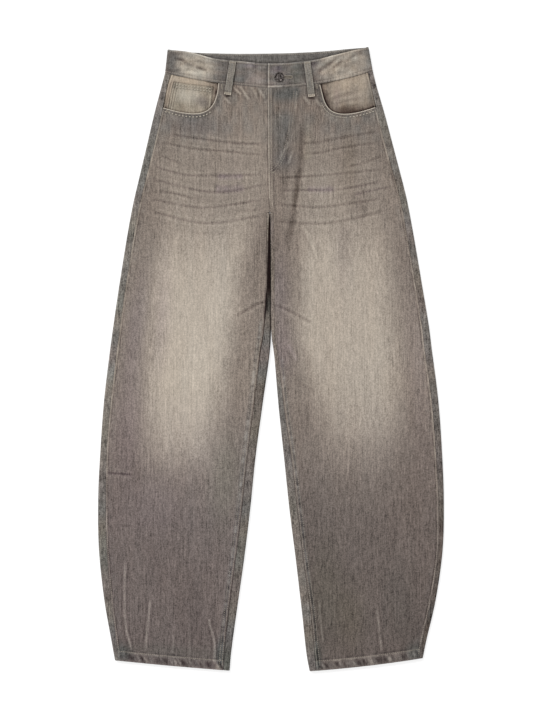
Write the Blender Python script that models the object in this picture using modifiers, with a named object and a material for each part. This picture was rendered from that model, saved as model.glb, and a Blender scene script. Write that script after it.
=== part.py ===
"""Wide-leg five-pocket trousers in washed denim, laid flat on their back.

The front faces up and the waist points to +Y. The origin is the middle of the
flat outline, on the surface that the trousers lie on.

Sizes are in millimetres until points become vertices. 'down' is a distance from
the top of the waist towards the hems, and 'left' and 'right' are the sides as
seen from above, with the waist at the top.

Each leg is worked out from a table of courses. A course is one line across the
leg, from its outline to its inner edge, and a course number between two rows
lies on the smooth curves through the table.
"""
import math
from collections import namedtuple

import bmesh
import bpy
import numpy as np

MM = 0.001

# Driving sizes of the whole garment
HALF_LENGTH = 546.5
CLOTH = 1.5
BAND_CLOTH = 2.4
FACING_CLOTH = 1.2
COIN_CLOTH = 1.0
BACK_POCKET_CLOTH = 1.2
LOOP_CLOTH = 1.3
SEAM_GAP = 0.36
LAYER_GAP = 0.3

# Courses of a leg, one row each: the outline and how far down it is there, the
# width of the back panel that wraps to the side seam, how far down the front and
# the back of the course are at the inner edge, the inner edge, the width of the
# back panel that wraps to the inseam, and the sag of the line between its ends.
Course = namedtuple("Course", "down outline strip front_in back_in inner inseam sag")
LEFT_COURSES = (
    Course(46, -185.5, 10.5, 72, 56, -5.8, 6.0, 3.7),
    Course(71, -192.2, 9.6, 98, 120, -5.6, 6.0, 3.5),
    Course(119, -204.8, 12.2, 141, 159, -5.2, 6.0, 2.6),
    Course(180, -219.1, 12.6, 197, 208, -4.7, 6.0, 1.8),
    Course(236, -232.4, 11.9, 252, 254, -3.9, 6.0, 0.9),
    Course(276, -241.7, 11.5, 291, 291, -2.6, 6.0, 0.0),
    Course(337, -252.9, 11.5, 351, 351, -1.9, 5.6, 0.0),
    Course(425, -266.9, 11.5, 438, 438, -0.4, 7.0, 0.0),
    Course(486, -275.8, 11.9, 499, 499, 0.2, 15.0, 0.0),
    Course(530, -281.8, 12.2, 543, 543, -3.0, 19.5, 0.0),
    Course(617, -292.2, 11.9, 631, 631, -16.1, 16.6, 0.0),
    Course(705, -298.7, 11.2, 719, 719, -27.8, 15.2, 0.0),
    Course(792, -302.8, 11.9, 807, 807, -36.8, 15.8, 0.0),
    Course(880, -301.4, 10.8, 895, 895, -47.2, 15.6, 0.0),
    Course(967, -292.2, 10.4, 983, 983, -59.2, 13.5, 0.0),
    Course(1037, -280.0, 8.8, 1055, 1055, -69.1, 11.4, 0.4),
    Course(1073, -273.3, 6.3, 1091, 1091, -72.5, 10.5, 0.7),
)
RIGHT_COURSES = (
    Course(42, 178.2, 8.4, 72, 56, -5.8, 6.0, 7.4),
    Course(71, 185.5, 8.8, 98, 120, -5.6, 6.0, 6.3),
    Course(119, 199.5, 12.2, 141, 159, -5.2, 6.0, 4.2),
    Course(180, 215.6, 13.0, 197, 208, -4.7, 6.0, 2.1),
    Course(236, 230.3, 11.6, 252, 254, -3.7, 6.0, 0.9),
    Course(276, 239.8, 11.2, 291, 291, -1.4, 6.0, 0.0),
    Course(337, 251.1, 11.4, 351, 351, -0.7, 6.0, 0.0),
    Course(425, 266.0, 11.4, 439, 439, 0.9, 6.0, 0.0),
    Course(486, 276.2, 12.2, 500, 500, 2.4, 6.0, 0.0),
    Course(530, 281.8, 13.3, 545, 545, 6.1, 6.6, 0.0),
    Course(617, 292.9, 13.6, 633, 633, 13.7, 10.0, 0.0),
    Course(705, 299.4, 12.6, 722, 722, 23.1, 14.6, 0.0),
    Course(792, 302.8, 12.0, 812, 812, 32.6, 15.6, 0.0),
    Course(880, 300.8, 10.5, 901, 901, 43.8, 14.2, 0.0),
    Course(967, 288.8, 9.1, 990, 990, 54.2, 14.4, 0.0),
    Course(1037, 272.7, 7.9, 1060, 1060, 61.8, 13.4, 1.4),
    Course(1069, 266.0, 6.3, 1092, 1092, 67.7, 11.0, 2.3),
)

# Course numbers that mean something
WAIST_SEAM = 0.0
YOKE_SEAM = 1.0
FLY_END = 3.1
CROTCH = 5.0
HEM = 16.0

# Course numbers of the rows of faces. The back's rows carry the outline, and the
# front has more rows between them where it is creased.
YOKE_ROWS = (WAIST_SEAM, 0.4, YOKE_SEAM)
BACK_ROWS = (YOKE_SEAM, 1.5, 1.85, 2.4, 3.0, 3.5, 4.0, 4.5, 4.9, CROTCH, 5.3, 6.0, 7.0, 8.0,
             9.0, 10.0, 11.0, 12.0, 13.0, 14.0, 15.0, 15.6, HEM)
OUTLINE_ROWS = YOKE_ROWS + BACK_ROWS[1:]
FINE_HIP_ROWS = tuple(2.0 + 0.2 * step for step in range(15))
FRONT_ROWS = tuple(sorted(set(OUTLINE_ROWS) | {0.7, 1.25, 1.65, 5.65, 6.33, 6.66}
                          | {round(row, 2) for row in FINE_HIP_ROWS}))

# Columns across a panel, from its side seam at 0 to its inner edge at 1
FRONT_COLUMNS = (0, 0.06, 0.16, 0.28, 0.4, 0.5, 0.59, 0.66, 0.72, 0.78, 0.84, 0.91, 1)
UNDER_COLUMNS = (0, 0.03, 0.15, 0.5, 0.85, 0.96, 1)
FOLD_STEPS = 5

# How high the top of the front lies, down the garment
HEIGHT_DOWN = (0, 110, 190, 300, 500, 1100)
HEIGHT_TOP = (8.6, 8.6, 7.7, 6.9, 6.9, 6.9)

# The waist seam of the back is held clear of the floor by the loops under it
WAIST_LIFT = LOOP_CLOTH + LAYER_GAP
POCKET_LIFT = BACK_POCKET_CLOTH + LAYER_GAP

# Waistband: the side folds at its two edges, and its upper edge front and back
BAND_FOLD = {"left": (-181.1, -185.5), "right": (170.8, 178.2)}
BAND_FRONT_EDGE = ((-181.1, 5.2), (-141.8, 9.7), (-99.8, 20.7), (-54.2, 26.2), (-5.8, 30.8),
                   (25.4, 29.1), (56.0, 25.8), (81.2, 22.3), (109.2, 15.3), (137.0, 8.3),
                   (170.8, 0.8))
BAND_BACK_EDGE = ((-181.1, 5.2), (-141.8, 9.4), (-99.8, 11.1), (-15.8, 11.6), (38.5, 10.4),
                  (94.5, 7.4), (136.5, 3.4), (170.8, 0.8))
BAND_TOP = 9.0
UNDERLAP_TOP = 6.9
OVERLAP_TOP = UNDERLAP_TOP + LAYER_GAP + BAND_CLOTH
UNDERLAP_END = 34.0
CENTRE_FRONT = -5.8
BAND_ACROSS = (0, 1 / 3, 2 / 3, 1)

# Fly: the right front rises over the shield, and the left front dips to meet it
FLY_RISE = 0.6
FLY_DIP = CLOTH + LAYER_GAP - FLY_RISE
FLY_WIDTH = 45.0
SHIELD_WIDTH = 38.0
FLY_DOWN = 205.0

# Pocket mouths: the four handles of each cut edge, from side seam to waist seam
POCKET_MOUTH = {
    "left": ((-188.7, 107.7), (-127.8, 129.1), (-87.5, 113.3), (-90.0, 64.3)),
    "right": ((182.3, 106.7), (143.5, 127.3), (99.8, 134.3), (84.5, 64.3)),
}
MOUTH_BEYOND = 40.0
FACING_DEPTH = 3.3
FACING_RISE = 2.4
FACING_ROWS = (WAIST_SEAM, 0.25, 0.5, 0.9, 1.2, 1.5, 1.75, 2.0, 2.3, 2.6)
FACING_COLUMNS = (0, 0.03, 0.11, 0.19, 0.27, 0.36, 0.45, 0.52, 0.6)
COIN_ROWS = (0.5, 2.3)
COIN_COLUMNS = (0.03, 0.45)

# Back pockets, as course number and column: mouth, lower corners and point
BACK_POCKET = ((2.0, 0.2), (2.0, 0.8), (4.3, 0.76), (4.75, 0.5), (4.3, 0.24))

# Belt loops: upper and lower end of the middle line, as x and down
LOOP_WIDTH = 11.5
LOOP_ARCH = 1.2
FRONT_LOOPS = {"left": ((-66.5, 25.1), (-76.0, 84.3)), "right": ((63.0, 25.8), (71.2, 87.9))}
BACK_LOOPS = {"left": ((-112.0, 11.4), (-115.0, 62.0)), "centre": ((-5.8, 12.0), (-5.8, 68.0)),
              "right": ((104.0, 7.4), (108.0, 61.0))}

# Button and its keyhole buttonhole, in the overlapping end of the waistband
BUTTON_X = 16.4
BUTTON_DOWN = 53.1
BUTTON_RADIUS = 8.5
SHANK_RADIUS = 2.4
EYE_RADIUS = 3.0
SLIT_END = 36.0
SLIT_HALF = 0.6

# Largest creases of the front, each a soft trough through three points (x, down)
Crease = namedtuple("Crease", "start middle end half_width depth")
CREASES = (
    Crease((-185.5, 169.3), (-133.0, 179.8), (-19.3, 188.6), 9.0, 0.6),
    Crease((-205.0, 230.6), (-133.0, 251.6), (-19.3, 246.3), 10.0, 0.8),
    Crease((-205.0, 288.3), (-124.3, 300.8), (-20.8, 288.1), 10.0, 0.7),
    Crease((57.8, 178.8), (122.5, 168.8), (185.5, 158.3), 9.0, 0.6),
    Crease((50.8, 246.8), (122.5, 241.6), (196.0, 228.6), 10.0, 0.8),
    Crease((30.3, 292.0), (122.5, 287.8), (200.5, 272.6), 10.0, 0.7),
    Crease((57.8, 141.3), (49.0, 235.8), (33.8, 342.6), 10.0, 1.2),
    Crease((-70.0, 474.3), (-40.0, 458.3), (-14.3, 447.8), 11.0, 0.8),
    Crease((10.8, 456.6), (36.8, 463.0), (68.8, 481.1), 11.0, 0.8),
    Crease((28.0, 582.8), (50.0, 590.0), (78.3, 604.6), 12.0, 0.7),
)
CREASE_END = 0.2

# Colours (linear) and surface of the materials
DENIM_LIGHT = (0.30, 0.26, 0.215, 1.0)
DENIM_MID = (0.235, 0.205, 0.175, 1.0)
DENIM_DARK = (0.17, 0.155, 0.145, 1.0)
OLD_METAL = (0.12, 0.105, 0.095, 1.0)


def smooth_value(x, xs, ys):
    """The smooth curve through (xs, ys), read at x."""
    xs = np.asarray(xs, dtype=float)
    ys = np.asarray(ys, dtype=float)
    slopes = np.gradient(ys, xs)
    i = int(np.clip(np.searchsorted(xs, x) - 1, 0, len(xs) - 2))
    step = xs[i + 1] - xs[i]
    t = float(np.clip((x - xs[i]) / step, 0, 1))
    start = ys[i] * (1 + 2 * t) * (1 - t) ** 2 + step * slopes[i] * t * (1 - t) ** 2
    end = ys[i + 1] * t * t * (3 - 2 * t) - step * slopes[i + 1] * t * t * (1 - t)
    return start + end


def ramp(value, start, end):
    """0 before start, 1 after end, and a soft step between."""
    t = min(max((value - start) / (end - start), 0.0), 1.0)
    return t * t * (3 - 2 * t)


def mix(a, b, t):
    return a + (b - a) * t


def bezier(handles, steps):
    """Points of a cubic curve with the given four handles."""
    p0, p1, p2, p3 = (np.array(handle, dtype=float) for handle in handles)
    points = []
    for step in range(steps + 1):
        t = step / steps
        s = 1 - t
        points.append(s ** 3 * p0 + 3 * s * s * t * p1 + 3 * s * t * t * p2 + t ** 3 * p3)
    return points


def distance_along(points, x, down):
    """Distance from (x, down) to a line of points, and how far along it that is, 0 to 1."""
    best = (1e9, 0.0)
    spans = len(points) - 1
    here = np.array((x, down), dtype=float)
    for i in range(spans):
        a = np.array(points[i], dtype=float)
        b = np.array(points[i + 1], dtype=float)
        t = float(np.clip(np.dot(here - a, b - a) / np.dot(b - a, b - a), 0, 1))
        gap = float(np.linalg.norm(a + (b - a) * t - here))
        best = min(best, (gap, (i + t) / spans))
    return best


class Leg:
    """One side of the garment, read at any course number."""

    def __init__(self, side, courses):
        self.side = side
        self.inward = 1 if side == "left" else -1
        numbers = range(len(courses))
        rows = []
        for row in OUTLINE_ROWS:
            rows.append([smooth_value(row, numbers, column) for column in zip(*courses)])
        self.columns = list(zip(*rows))

    def course(self, number):
        """The course at a number: on the smooth curves at the outline's rows, straight between."""
        return Course(*(float(np.interp(number, OUTLINE_ROWS, column)) for column in self.columns))

    def down_front(self, course, x):
        """How far down the course is at x, on the front."""
        t = (x - course.outline) / (course.inner - course.outline)
        return mix(course.down, course.front_in, t) + 4 * course.sag * t * (1 - t)

    def down_back(self, course, number, x):
        """How far down the course is at x, on the back."""
        t = (x - course.outline) / (course.inner - course.outline)
        sag = course.sag if number >= CROTCH else 0.0
        return mix(course.down, course.back_in, t) + 4 * sag * t * (1 - t)

    def front_edges(self, number):
        """x of the front panel's side edge and inner edge on a course."""
        course = self.course(number)
        side_edge = course.outline + self.inward * (course.strip + SEAM_GAP)
        if number < CROTCH:
            return side_edge, course.inner - self.inward * SEAM_GAP / 2
        return side_edge, course.inner - self.inward * (course.inseam + SEAM_GAP)


LEFT = Leg("left", LEFT_COURSES)
RIGHT = Leg("right", RIGHT_COURSES)


def crease_depth(x, down):
    """Depth of the largest creases at a place on the front."""
    depth = 0.0
    for crease in CREASES:
        gap, along = distance_along((crease.start, crease.middle, crease.end), x, down)
        ends = ramp(along, 0, CREASE_END) * ramp(1 - along, 0, CREASE_END)
        depth += crease.depth * ends * math.exp(-(gap / crease.half_width) ** 2)
    return depth


def fly_step(side, x, down):
    """Rise of the right front over the fly's shield, or dip of the left front beside it."""
    above = 1 - ramp(down, FLY_DOWN, FLY_DOWN + 30)
    if side == "left":
        return -FLY_DIP * above * ramp(x, CENTRE_FRONT - 28, CENTRE_FRONT - 2)
    return FLY_RISE * above * (1 - ramp(x, FLY_WIDTH - 5, FLY_WIDTH + 9))


def plain_top(down):
    """Top of the front before its creases and fly."""
    return smooth_value(down, HEIGHT_DOWN, HEIGHT_TOP)


def front_top(side, x, down):
    """Top of the front at a place on it."""
    return plain_top(down) + fly_step(side, x, down) - crease_depth(x, down)


def place(x, down, z):
    """A point in millimetres, from x, the distance down and the height."""
    return (x, HALF_LENGTH - down, z)


def front_row(leg, number, columns, below=0.0, shift=0.0):
    """Points across the front on a course: the middle of its wall, or so much below it."""
    course = leg.course(number)
    side_edge, inner_edge = leg.front_edges(number)
    points = []
    for column in columns:
        x = mix(side_edge, inner_edge, column)
        down = leg.down_front(course, x)
        z = front_top(leg.side, x, down) - CLOTH / 2 - below
        points.append(place(x, down + shift, z))
    return points


def under_lift(number, column):
    """How far the underside of the back stands off the floor, over a pocket."""
    along = np.interp(number, (1.5, 1.85, 4.9, 5.3), (0, 1, 1, 0))
    across = np.interp(column, (0.03, 0.15, 0.85, 0.96), (0, 1, 1, 0))
    return POCKET_LIFT * float(along * across)


def under_x(leg, course, number, turn, column):
    """x on the underside between the outer fold and the inner edge or inner fold."""
    start = course.outline + leg.inward * turn
    inner_turn = turn if number >= CROTCH else SEAM_GAP / 2
    return mix(start, course.inner - leg.inward * inner_turn, column)


def fold_of(leg, course, number):
    """Middle height, radius and reach of the half round fold at a course's outline."""
    low = CLOTH / 2 + WAIST_LIFT * (1 - ramp(number, 0.4, YOKE_SEAM))
    high = plain_top(course.down) - CLOTH / 2
    radius = (high - low) / 2
    return low + radius, radius, radius + CLOTH / 2


def back_row(leg, number, shift=0.0):
    """Points of the back on a course, from the side seam round the fold and underneath.

    Below the crotch the row goes on round the inner fold to the inseam. Above it the
    points of that stretch repeat the last one, and their faces are removed.
    """
    course = leg.course(number)
    middle, radius, turn = fold_of(leg, course, number)
    seam_x = course.outline + leg.inward * course.strip
    points = [place(seam_x, leg.down_front(course, seam_x) + shift, middle + radius)]
    for step in range(FOLD_STEPS + 1):
        angle = math.pi * step / FOLD_STEPS
        x = course.outline + leg.inward * (turn - radius * math.sin(angle))
        down = leg.down_front(course, x) if step * 2 < FOLD_STEPS else leg.down_back(course, number, x)
        points.append(place(x, down + shift, middle + radius * math.cos(angle)))
    for column in UNDER_COLUMNS[1:]:
        x = under_x(leg, course, number, turn, column)
        z = middle - radius + under_lift(number, column)
        points.append(place(x, leg.down_back(course, number, x) + shift, z))
    if number < CROTCH:
        return points + [points[-1]] * (FOLD_STEPS + 1)
    for step in range(1, FOLD_STEPS + 1):
        angle = math.pi * step / FOLD_STEPS
        x = course.inner - leg.inward * (turn - radius * math.sin(angle))
        points.append(place(x, leg.down_front(course, x) + shift, middle - radius * math.cos(angle)))
    seam_x = course.inner - leg.inward * course.inseam
    points.append(place(seam_x, leg.down_front(course, seam_x) + shift, middle + radius))
    return points


def cloth(name, rows, wall, material, collection, dropped=()):
    """A panel: an open grid through rows of points, thickened about its middle."""
    bm = bmesh.new()
    bmesh.ops.create_grid(bm, x_segments=len(rows[0]) - 1, y_segments=len(rows) - 1, size=1)
    for vertex, point in zip(bm.verts, (point for row in rows for point in row)):
        vertex.co = [value * MM for value in point]
    bm.faces.ensure_lookup_table()
    across = len(rows[0]) - 1
    faces = [bm.faces[row * across + column] for row, column in dropped]
    bmesh.ops.delete(bm, geom=faces, context="FACES")
    item = new_object(name, bm, material, collection)
    solid = item.modifiers.new("wall", "SOLIDIFY")
    solid.thickness = wall * MM
    solid.offset = 0
    solid.use_even_offset = True
    return item


def new_object(name, bm, material, collection):
    """An object from a bmesh, with its material, in its collection."""
    mesh = bpy.data.meshes.new(name)
    bm.to_mesh(mesh)
    bm.free()
    item = bpy.data.objects.new(name, mesh)
    if material is not None:
        mesh.materials.append(material)
    collection.objects.link(item)
    return item


def prism(name, outline, low, high, material, collection):
    """A flat outline of (x, down) points, extruded from one height to another."""
    bm = bmesh.new()
    corners = [bm.verts.new([value * MM for value in place(x, down, low)]) for x, down in outline]
    face = bm.faces.new(corners)
    raised = bmesh.ops.extrude_face_region(bm, geom=[face])["geom"]
    up = [element for element in raised if isinstance(element, bmesh.types.BMVert)]
    bmesh.ops.translate(bm, verts=up, vec=(0, 0, (high - low) * MM))
    bmesh.ops.recalc_face_normals(bm, faces=bm.faces)
    return new_object(name, bm, material, collection)


def cut(item, cutter):
    """Takes the cutter's shape out of the item."""
    cutter.hide_render = True
    cutter.display_type = "WIRE"
    boolean = item.modifiers.new("cut " + cutter.name, "BOOLEAN")
    boolean.operation = "DIFFERENCE"
    boolean.solver = "EXACT"
    boolean.object = cutter


def make_material(name, colour, roughness, metallic=0.0):
    material = bpy.data.materials.new(name)
    material.use_nodes = True
    shader = material.node_tree.nodes["Principled BSDF"]
    shader.inputs["Base Color"].default_value = colour
    shader.inputs["Roughness"].default_value = roughness
    shader.inputs["Metallic"].default_value = metallic
    material.diffuse_color = colour
    return material


def make_front(leg, material, parts, cutters):
    """A front panel, with its pocket mouth cut out of its upper corner."""
    rows = []
    for number in FRONT_ROWS:
        shift = SEAM_GAP / 2 if number == WAIST_SEAM else 0.0
        rows.append(front_row(leg, number, FRONT_COLUMNS, shift=shift))
    panel = cloth("front_" + leg.side, rows, CLOTH, material, parts)
    mouth = [tuple(point) for point in bezier(POCKET_MOUTH[leg.side], 20)]
    outward = -leg.inward * MOUTH_BEYOND
    above = (mouth[-1][0], mouth[-1][1] - MOUTH_BEYOND)
    beside = (mouth[0][0] + outward, mouth[0][1])
    corner = (beside[0], above[1])
    outline = [beside] + mouth + [above, corner]
    cutter = prism("pocket_mouth_" + leg.side, outline, 0.0, 20.0, None, cutters)
    cut(panel, cutter)
    return panel


def make_back(leg, material, parts):
    """A back panel, which wraps over the folds to the side seam and the inseam."""
    rows = []
    for number in BACK_ROWS:
        shift = SEAM_GAP / 2 if number == YOKE_SEAM else 0.0
        rows.append(back_row(leg, number, shift))
    first_inner = FOLD_STEPS + len(UNDER_COLUMNS)
    above_crotch = BACK_ROWS.index(CROTCH)
    across = len(rows[0]) - 1
    dropped = [(row, column) for row in range(above_crotch) for column in range(first_inner, across)]
    return cloth("back_" + leg.side, rows, CLOTH, material, parts, dropped)


def make_yoke(leg, material, parts):
    """The back yoke, from the waist seam to the yoke seam and round the side fold."""
    across = FOLD_STEPS + len(UNDER_COLUMNS) + 1
    rows = []
    for number in YOKE_ROWS:
        shift = {WAIST_SEAM: SEAM_GAP / 2, YOKE_SEAM: -SEAM_GAP / 2}.get(number, 0.0)
        rows.append(back_row(leg, number, shift)[:across])
    return cloth("yoke_" + leg.side, rows, CLOTH, material, parts)


def mouth_rise(side, x, down):
    """How far the facing rises inside the pocket mouth, away from its cut edge."""
    mouth = bezier(POCKET_MOUTH[side], 12)
    gap, along = distance_along(mouth, x, down)
    nearest = mouth[min(int(along * 12), 11)]
    following = mouth[min(int(along * 12), 11) + 1]
    edge = following - nearest
    turn = edge[0] * (down - nearest[1]) - edge[1] * (x - nearest[0])
    inside = turn < 0 if side == "left" else turn > 0
    return FACING_RISE * ramp(gap, 10, 30) if inside else 0.0


def facing_rows(leg, numbers, columns, above=0.0, shift=0.0):
    """Rows of points of a pocket facing: the middle of its wall, or so much above it."""
    rows = []
    for number in numbers:
        course = leg.course(number)
        side_edge, inner_edge = leg.front_edges(number)
        points = []
        for column in columns:
            x = mix(side_edge, inner_edge, column)
            down = leg.down_front(course, x)
            middle = plain_top(down) - FACING_DEPTH - FACING_CLOTH / 2
            z = middle + mouth_rise(leg.side, x, down) + above
            points.append(place(x, down + (shift if number == WAIST_SEAM else 0.0), z))
        rows.append(points)
    return rows


def make_facing(leg, material, parts):
    """The facing that shows in a pocket mouth and goes on under the front."""
    rows = facing_rows(leg, FACING_ROWS, FACING_COLUMNS, shift=SEAM_GAP / 2)
    return cloth("facing_" + leg.side, rows, FACING_CLOTH, material, parts)


def make_coin_pocket(material, parts):
    """The small pocket on the left facing, made from the facing's points, moved out."""
    numbers = [row for row in FACING_ROWS if COIN_ROWS[0] <= row <= COIN_ROWS[1]]
    columns = [column for column in FACING_COLUMNS if COIN_COLUMNS[0] <= column <= COIN_COLUMNS[1]]
    above = FACING_CLOTH / 2 + LAYER_GAP + COIN_CLOTH / 2
    rows = facing_rows(LEFT, numbers, columns, above)
    return cloth("coin_pocket", rows, COIN_CLOTH, material, parts)


def make_fly_shield(material, parts):
    """The strip behind the fly, made from the right front's points, moved in."""
    numbers = [row for row in FRONT_ROWS if row <= FLY_END]
    rows = []
    for number in numbers:
        side_edge, inner_edge = RIGHT.front_edges(number)
        first = 1 - SHIELD_WIDTH / (side_edge - inner_edge)
        columns = [mix(first, 1, step / 3) for step in range(4)]
        shift = SEAM_GAP / 2 if number == WAIST_SEAM else 0.0
        rows.append(front_row(RIGHT, number, columns, below=CLOTH + LAYER_GAP, shift=shift))
    return cloth("fly_shield", rows, CLOTH, material, parts)


def make_back_pocket(leg, material, parts):
    """A plain back pocket, flat under the raised part of its panel."""
    outline = []
    for number, column in BACK_POCKET:
        course = leg.course(number)
        turn = fold_of(leg, course, number)[2]
        x = under_x(leg, course, number, turn, column)
        outline.append((x, leg.down_back(course, number, x)))
    return prism("back_pocket_" + leg.side, outline, 0.0, BACK_POCKET_CLOTH, material, parts)


def edge_down(edge, x):
    """How far down the waistband's upper edge is at x."""
    return smooth_value(x, [point[0] for point in edge], [point[1] for point in edge])


def band_column(top, seam, z):
    """Points across the waistband, from a point of its upper edge to one of its seam."""
    points = []
    for t in BAND_ACROSS:
        x = mix(top[0], seam[0], t)
        down = mix(top[1], seam[1], t)
        points.append(place(x, down, z))
    return points


def seam_down(leg, x, back=False):
    """How far down the waistband's lower edge is at x."""
    course = leg.course(WAIST_SEAM)
    down = leg.down_back(course, WAIST_SEAM, x) if back else leg.down_front(course, x)
    return down - SEAM_GAP / 2


def band_front(leg, fractions):
    """Columns of the waistband on the front, at fractions of the way from fold to middle."""
    turn = band_fold_size()[2]
    top_fold, seam_fold = BAND_FOLD[leg.side]
    columns = []
    for t in fractions:
        top_x = mix(top_fold + leg.inward * turn, CENTRE_FRONT, t)
        seam_x = mix(seam_fold + leg.inward * turn, CENTRE_FRONT, t)
        if leg.side == "left":
            top_z = mix(BAND_TOP, UNDERLAP_TOP, ramp(seam_x, CENTRE_FRONT - 34, CENTRE_FRONT - 6))
        else:
            top_z = mix(OVERLAP_TOP, BAND_TOP, ramp(seam_x, UNDERLAP_END + 2, UNDERLAP_END + 24))
        top = (top_x, edge_down(BAND_FRONT_EDGE, top_x))
        seam = (seam_x, seam_down(leg, seam_x))
        columns.append(band_column(top, seam, top_z - BAND_CLOTH / 2))
    return columns


def band_fold_size():
    """Middle height, radius and reach of the waistband's side folds."""
    low = WAIST_LIFT + BAND_CLOTH / 2
    high = BAND_TOP - BAND_CLOTH / 2
    radius = (high - low) / 2
    return low + radius, radius, radius + BAND_CLOTH / 2


def band_fold(leg, steps):
    """Columns of the waistband round a side fold, at the given steps from front to back."""
    middle, radius, turn = band_fold_size()
    top_fold, seam_fold = BAND_FOLD[leg.side]
    top_down = edge_down(BAND_FRONT_EDGE, top_fold)
    columns = []
    for step in steps:
        angle = math.pi * step / FOLD_STEPS
        inset = leg.inward * (turn - radius * math.sin(angle))
        seam_x = seam_fold + inset
        seam = (seam_x, seam_down(leg, seam_x, back=step * 2 > FOLD_STEPS))
        columns.append(band_column((top_fold + inset, top_down), seam, middle + radius * math.cos(angle)))
    return columns


def band_back(fractions):
    """Columns of the waistband across the back, at fractions of the way from left to right."""
    turn = band_fold_size()[2]
    top_left, seam_left = (fold + turn for fold in BAND_FOLD["left"])
    top_right, seam_right = (fold - turn for fold in BAND_FOLD["right"])
    columns = []
    for t in fractions:
        top_x = mix(top_left, top_right, t)
        seam_x = mix(seam_left, seam_right, t)
        leg = LEFT if seam_x < CENTRE_FRONT else RIGHT
        top = (top_x, edge_down(BAND_BACK_EDGE, top_x))
        seam = (seam_x, seam_down(leg, seam_x, back=True))
        columns.append(band_column(top, seam, WAIST_LIFT + BAND_CLOTH / 2))
    return columns


def band_underlap():
    """Columns of the waistband's end that lies under the buttonhole, from its tip."""
    columns = []
    for x in (UNDERLAP_END, 20.0, 7.0):
        top = (x, edge_down(BAND_FRONT_EDGE, x) + 1.0)
        seam = (x, seam_down(RIGHT, x))
        columns.append(band_column(top, seam, UNDERLAP_TOP - BAND_CLOTH / 2))
    return columns


def make_waistband(material, parts, cutters):
    """One band, from the end under the button round the back to the buttonhole's end."""
    inner_to_fold = (1, 0.965, 0.93, 0.88, 0.82, 0.65, 0.45, 0.25)
    columns = band_underlap() + band_front(LEFT, inner_to_fold)
    columns += band_fold(LEFT, range(FOLD_STEPS + 1))
    columns += band_back([step / 9 for step in range(1, 9)])
    columns += band_fold(RIGHT, range(FOLD_STEPS, -1, -1))
    columns += band_front(RIGHT, (0.2, 0.4, 0.6, 0.68, 0.74, 0.8, 0.9, 1))
    band = cloth("waistband", columns, BAND_CLOTH, material, parts)
    eye = []
    first = math.asin(SLIT_HALF / EYE_RADIUS)
    for step in range(13):
        angle = mix(first, 2 * math.pi - first, step / 12)
        eye.append((BUTTON_X + EYE_RADIUS * math.cos(angle), BUTTON_DOWN + EYE_RADIUS * math.sin(angle)))
    outline = eye + [(SLIT_END, BUTTON_DOWN - SLIT_HALF), (SLIT_END, BUTTON_DOWN + SLIT_HALF)]
    cutter = prism("buttonhole", outline, UNDERLAP_TOP + LAYER_GAP / 3, OVERLAP_TOP + 2, None, cutters)
    cut(band, cutter)
    return band


def make_loop(name, ends, heights, arch, material, parts):
    """A belt loop: a narrow strip that arches between its two sewn ends."""
    upper, lower = (np.array(end, dtype=float) for end in ends)
    length = float(np.linalg.norm(lower - upper))
    across = np.array((lower[1] - upper[1], upper[0] - lower[0])) / length * LOOP_WIDTH / 2
    rows = []
    steps = 8 if arch else 2
    for step in range(steps + 1):
        t = step / steps
        middle = mix(upper, lower, t)
        z = mix(heights[0], heights[1], ramp(t, 0.55, 0.85)) + arch * math.sin(math.pi * t) ** 2
        rows.append([place(*(middle + across * side), z + LOOP_CLOTH / 2) for side in (-1, 0, 1)])
    return cloth(name, rows, LOOP_CLOTH, material, parts)


def make_loops(material, parts):
    """Two loops on the front, and three under the back."""
    on_band = BAND_TOP + LAYER_GAP
    on_front = plain_top(0) + LAYER_GAP
    for side, ends in FRONT_LOOPS.items():
        make_loop("loop_front_" + side, ends, (on_band, on_front), LOOP_ARCH, material, parts)
    for side, ends in BACK_LOOPS.items():
        make_loop("loop_back_" + side, ends, (0.0, 0.0), 0.0, material, parts)


def make_button(material, parts):
    """A plain shank button, turned about its own axis, standing on the underlap."""
    foot = UNDERLAP_TOP + LAYER_GAP
    cap = OVERLAP_TOP + LAYER_GAP
    profile = ((0, cap + 2.2), (3.4, cap + 2.0), (6.2, cap + 1.6), (7.3, cap + 1.9),
               (BUTTON_RADIUS, cap + 1.2), (BUTTON_RADIUS, cap + 0.5), (7.6, cap),
               (SHANK_RADIUS, cap), (SHANK_RADIUS, foot), (0, foot))
    bm = bmesh.new()
    points = [bm.verts.new((radius * MM, 0, z * MM)) for radius, z in profile]
    for upper, lower in zip(points, points[1:]):
        bm.edges.new((upper, lower))
    button = new_object("button", bm, material, parts)
    button.location = (BUTTON_X * MM, (HALF_LENGTH - BUTTON_DOWN) * MM, 0)
    screw = button.modifiers.new("turn", "SCREW")
    screw.steps = 20
    screw.render_steps = 20
    screw.use_merge_vertices = True
    screw.merge_threshold = 0.00005
    return button


def clear_scene():
    for item in list(bpy.data.objects):
        bpy.data.objects.remove(item)


def make_collection(name):
    collection = bpy.data.collections.new(name)
    bpy.context.scene.collection.children.link(collection)
    return collection


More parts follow.
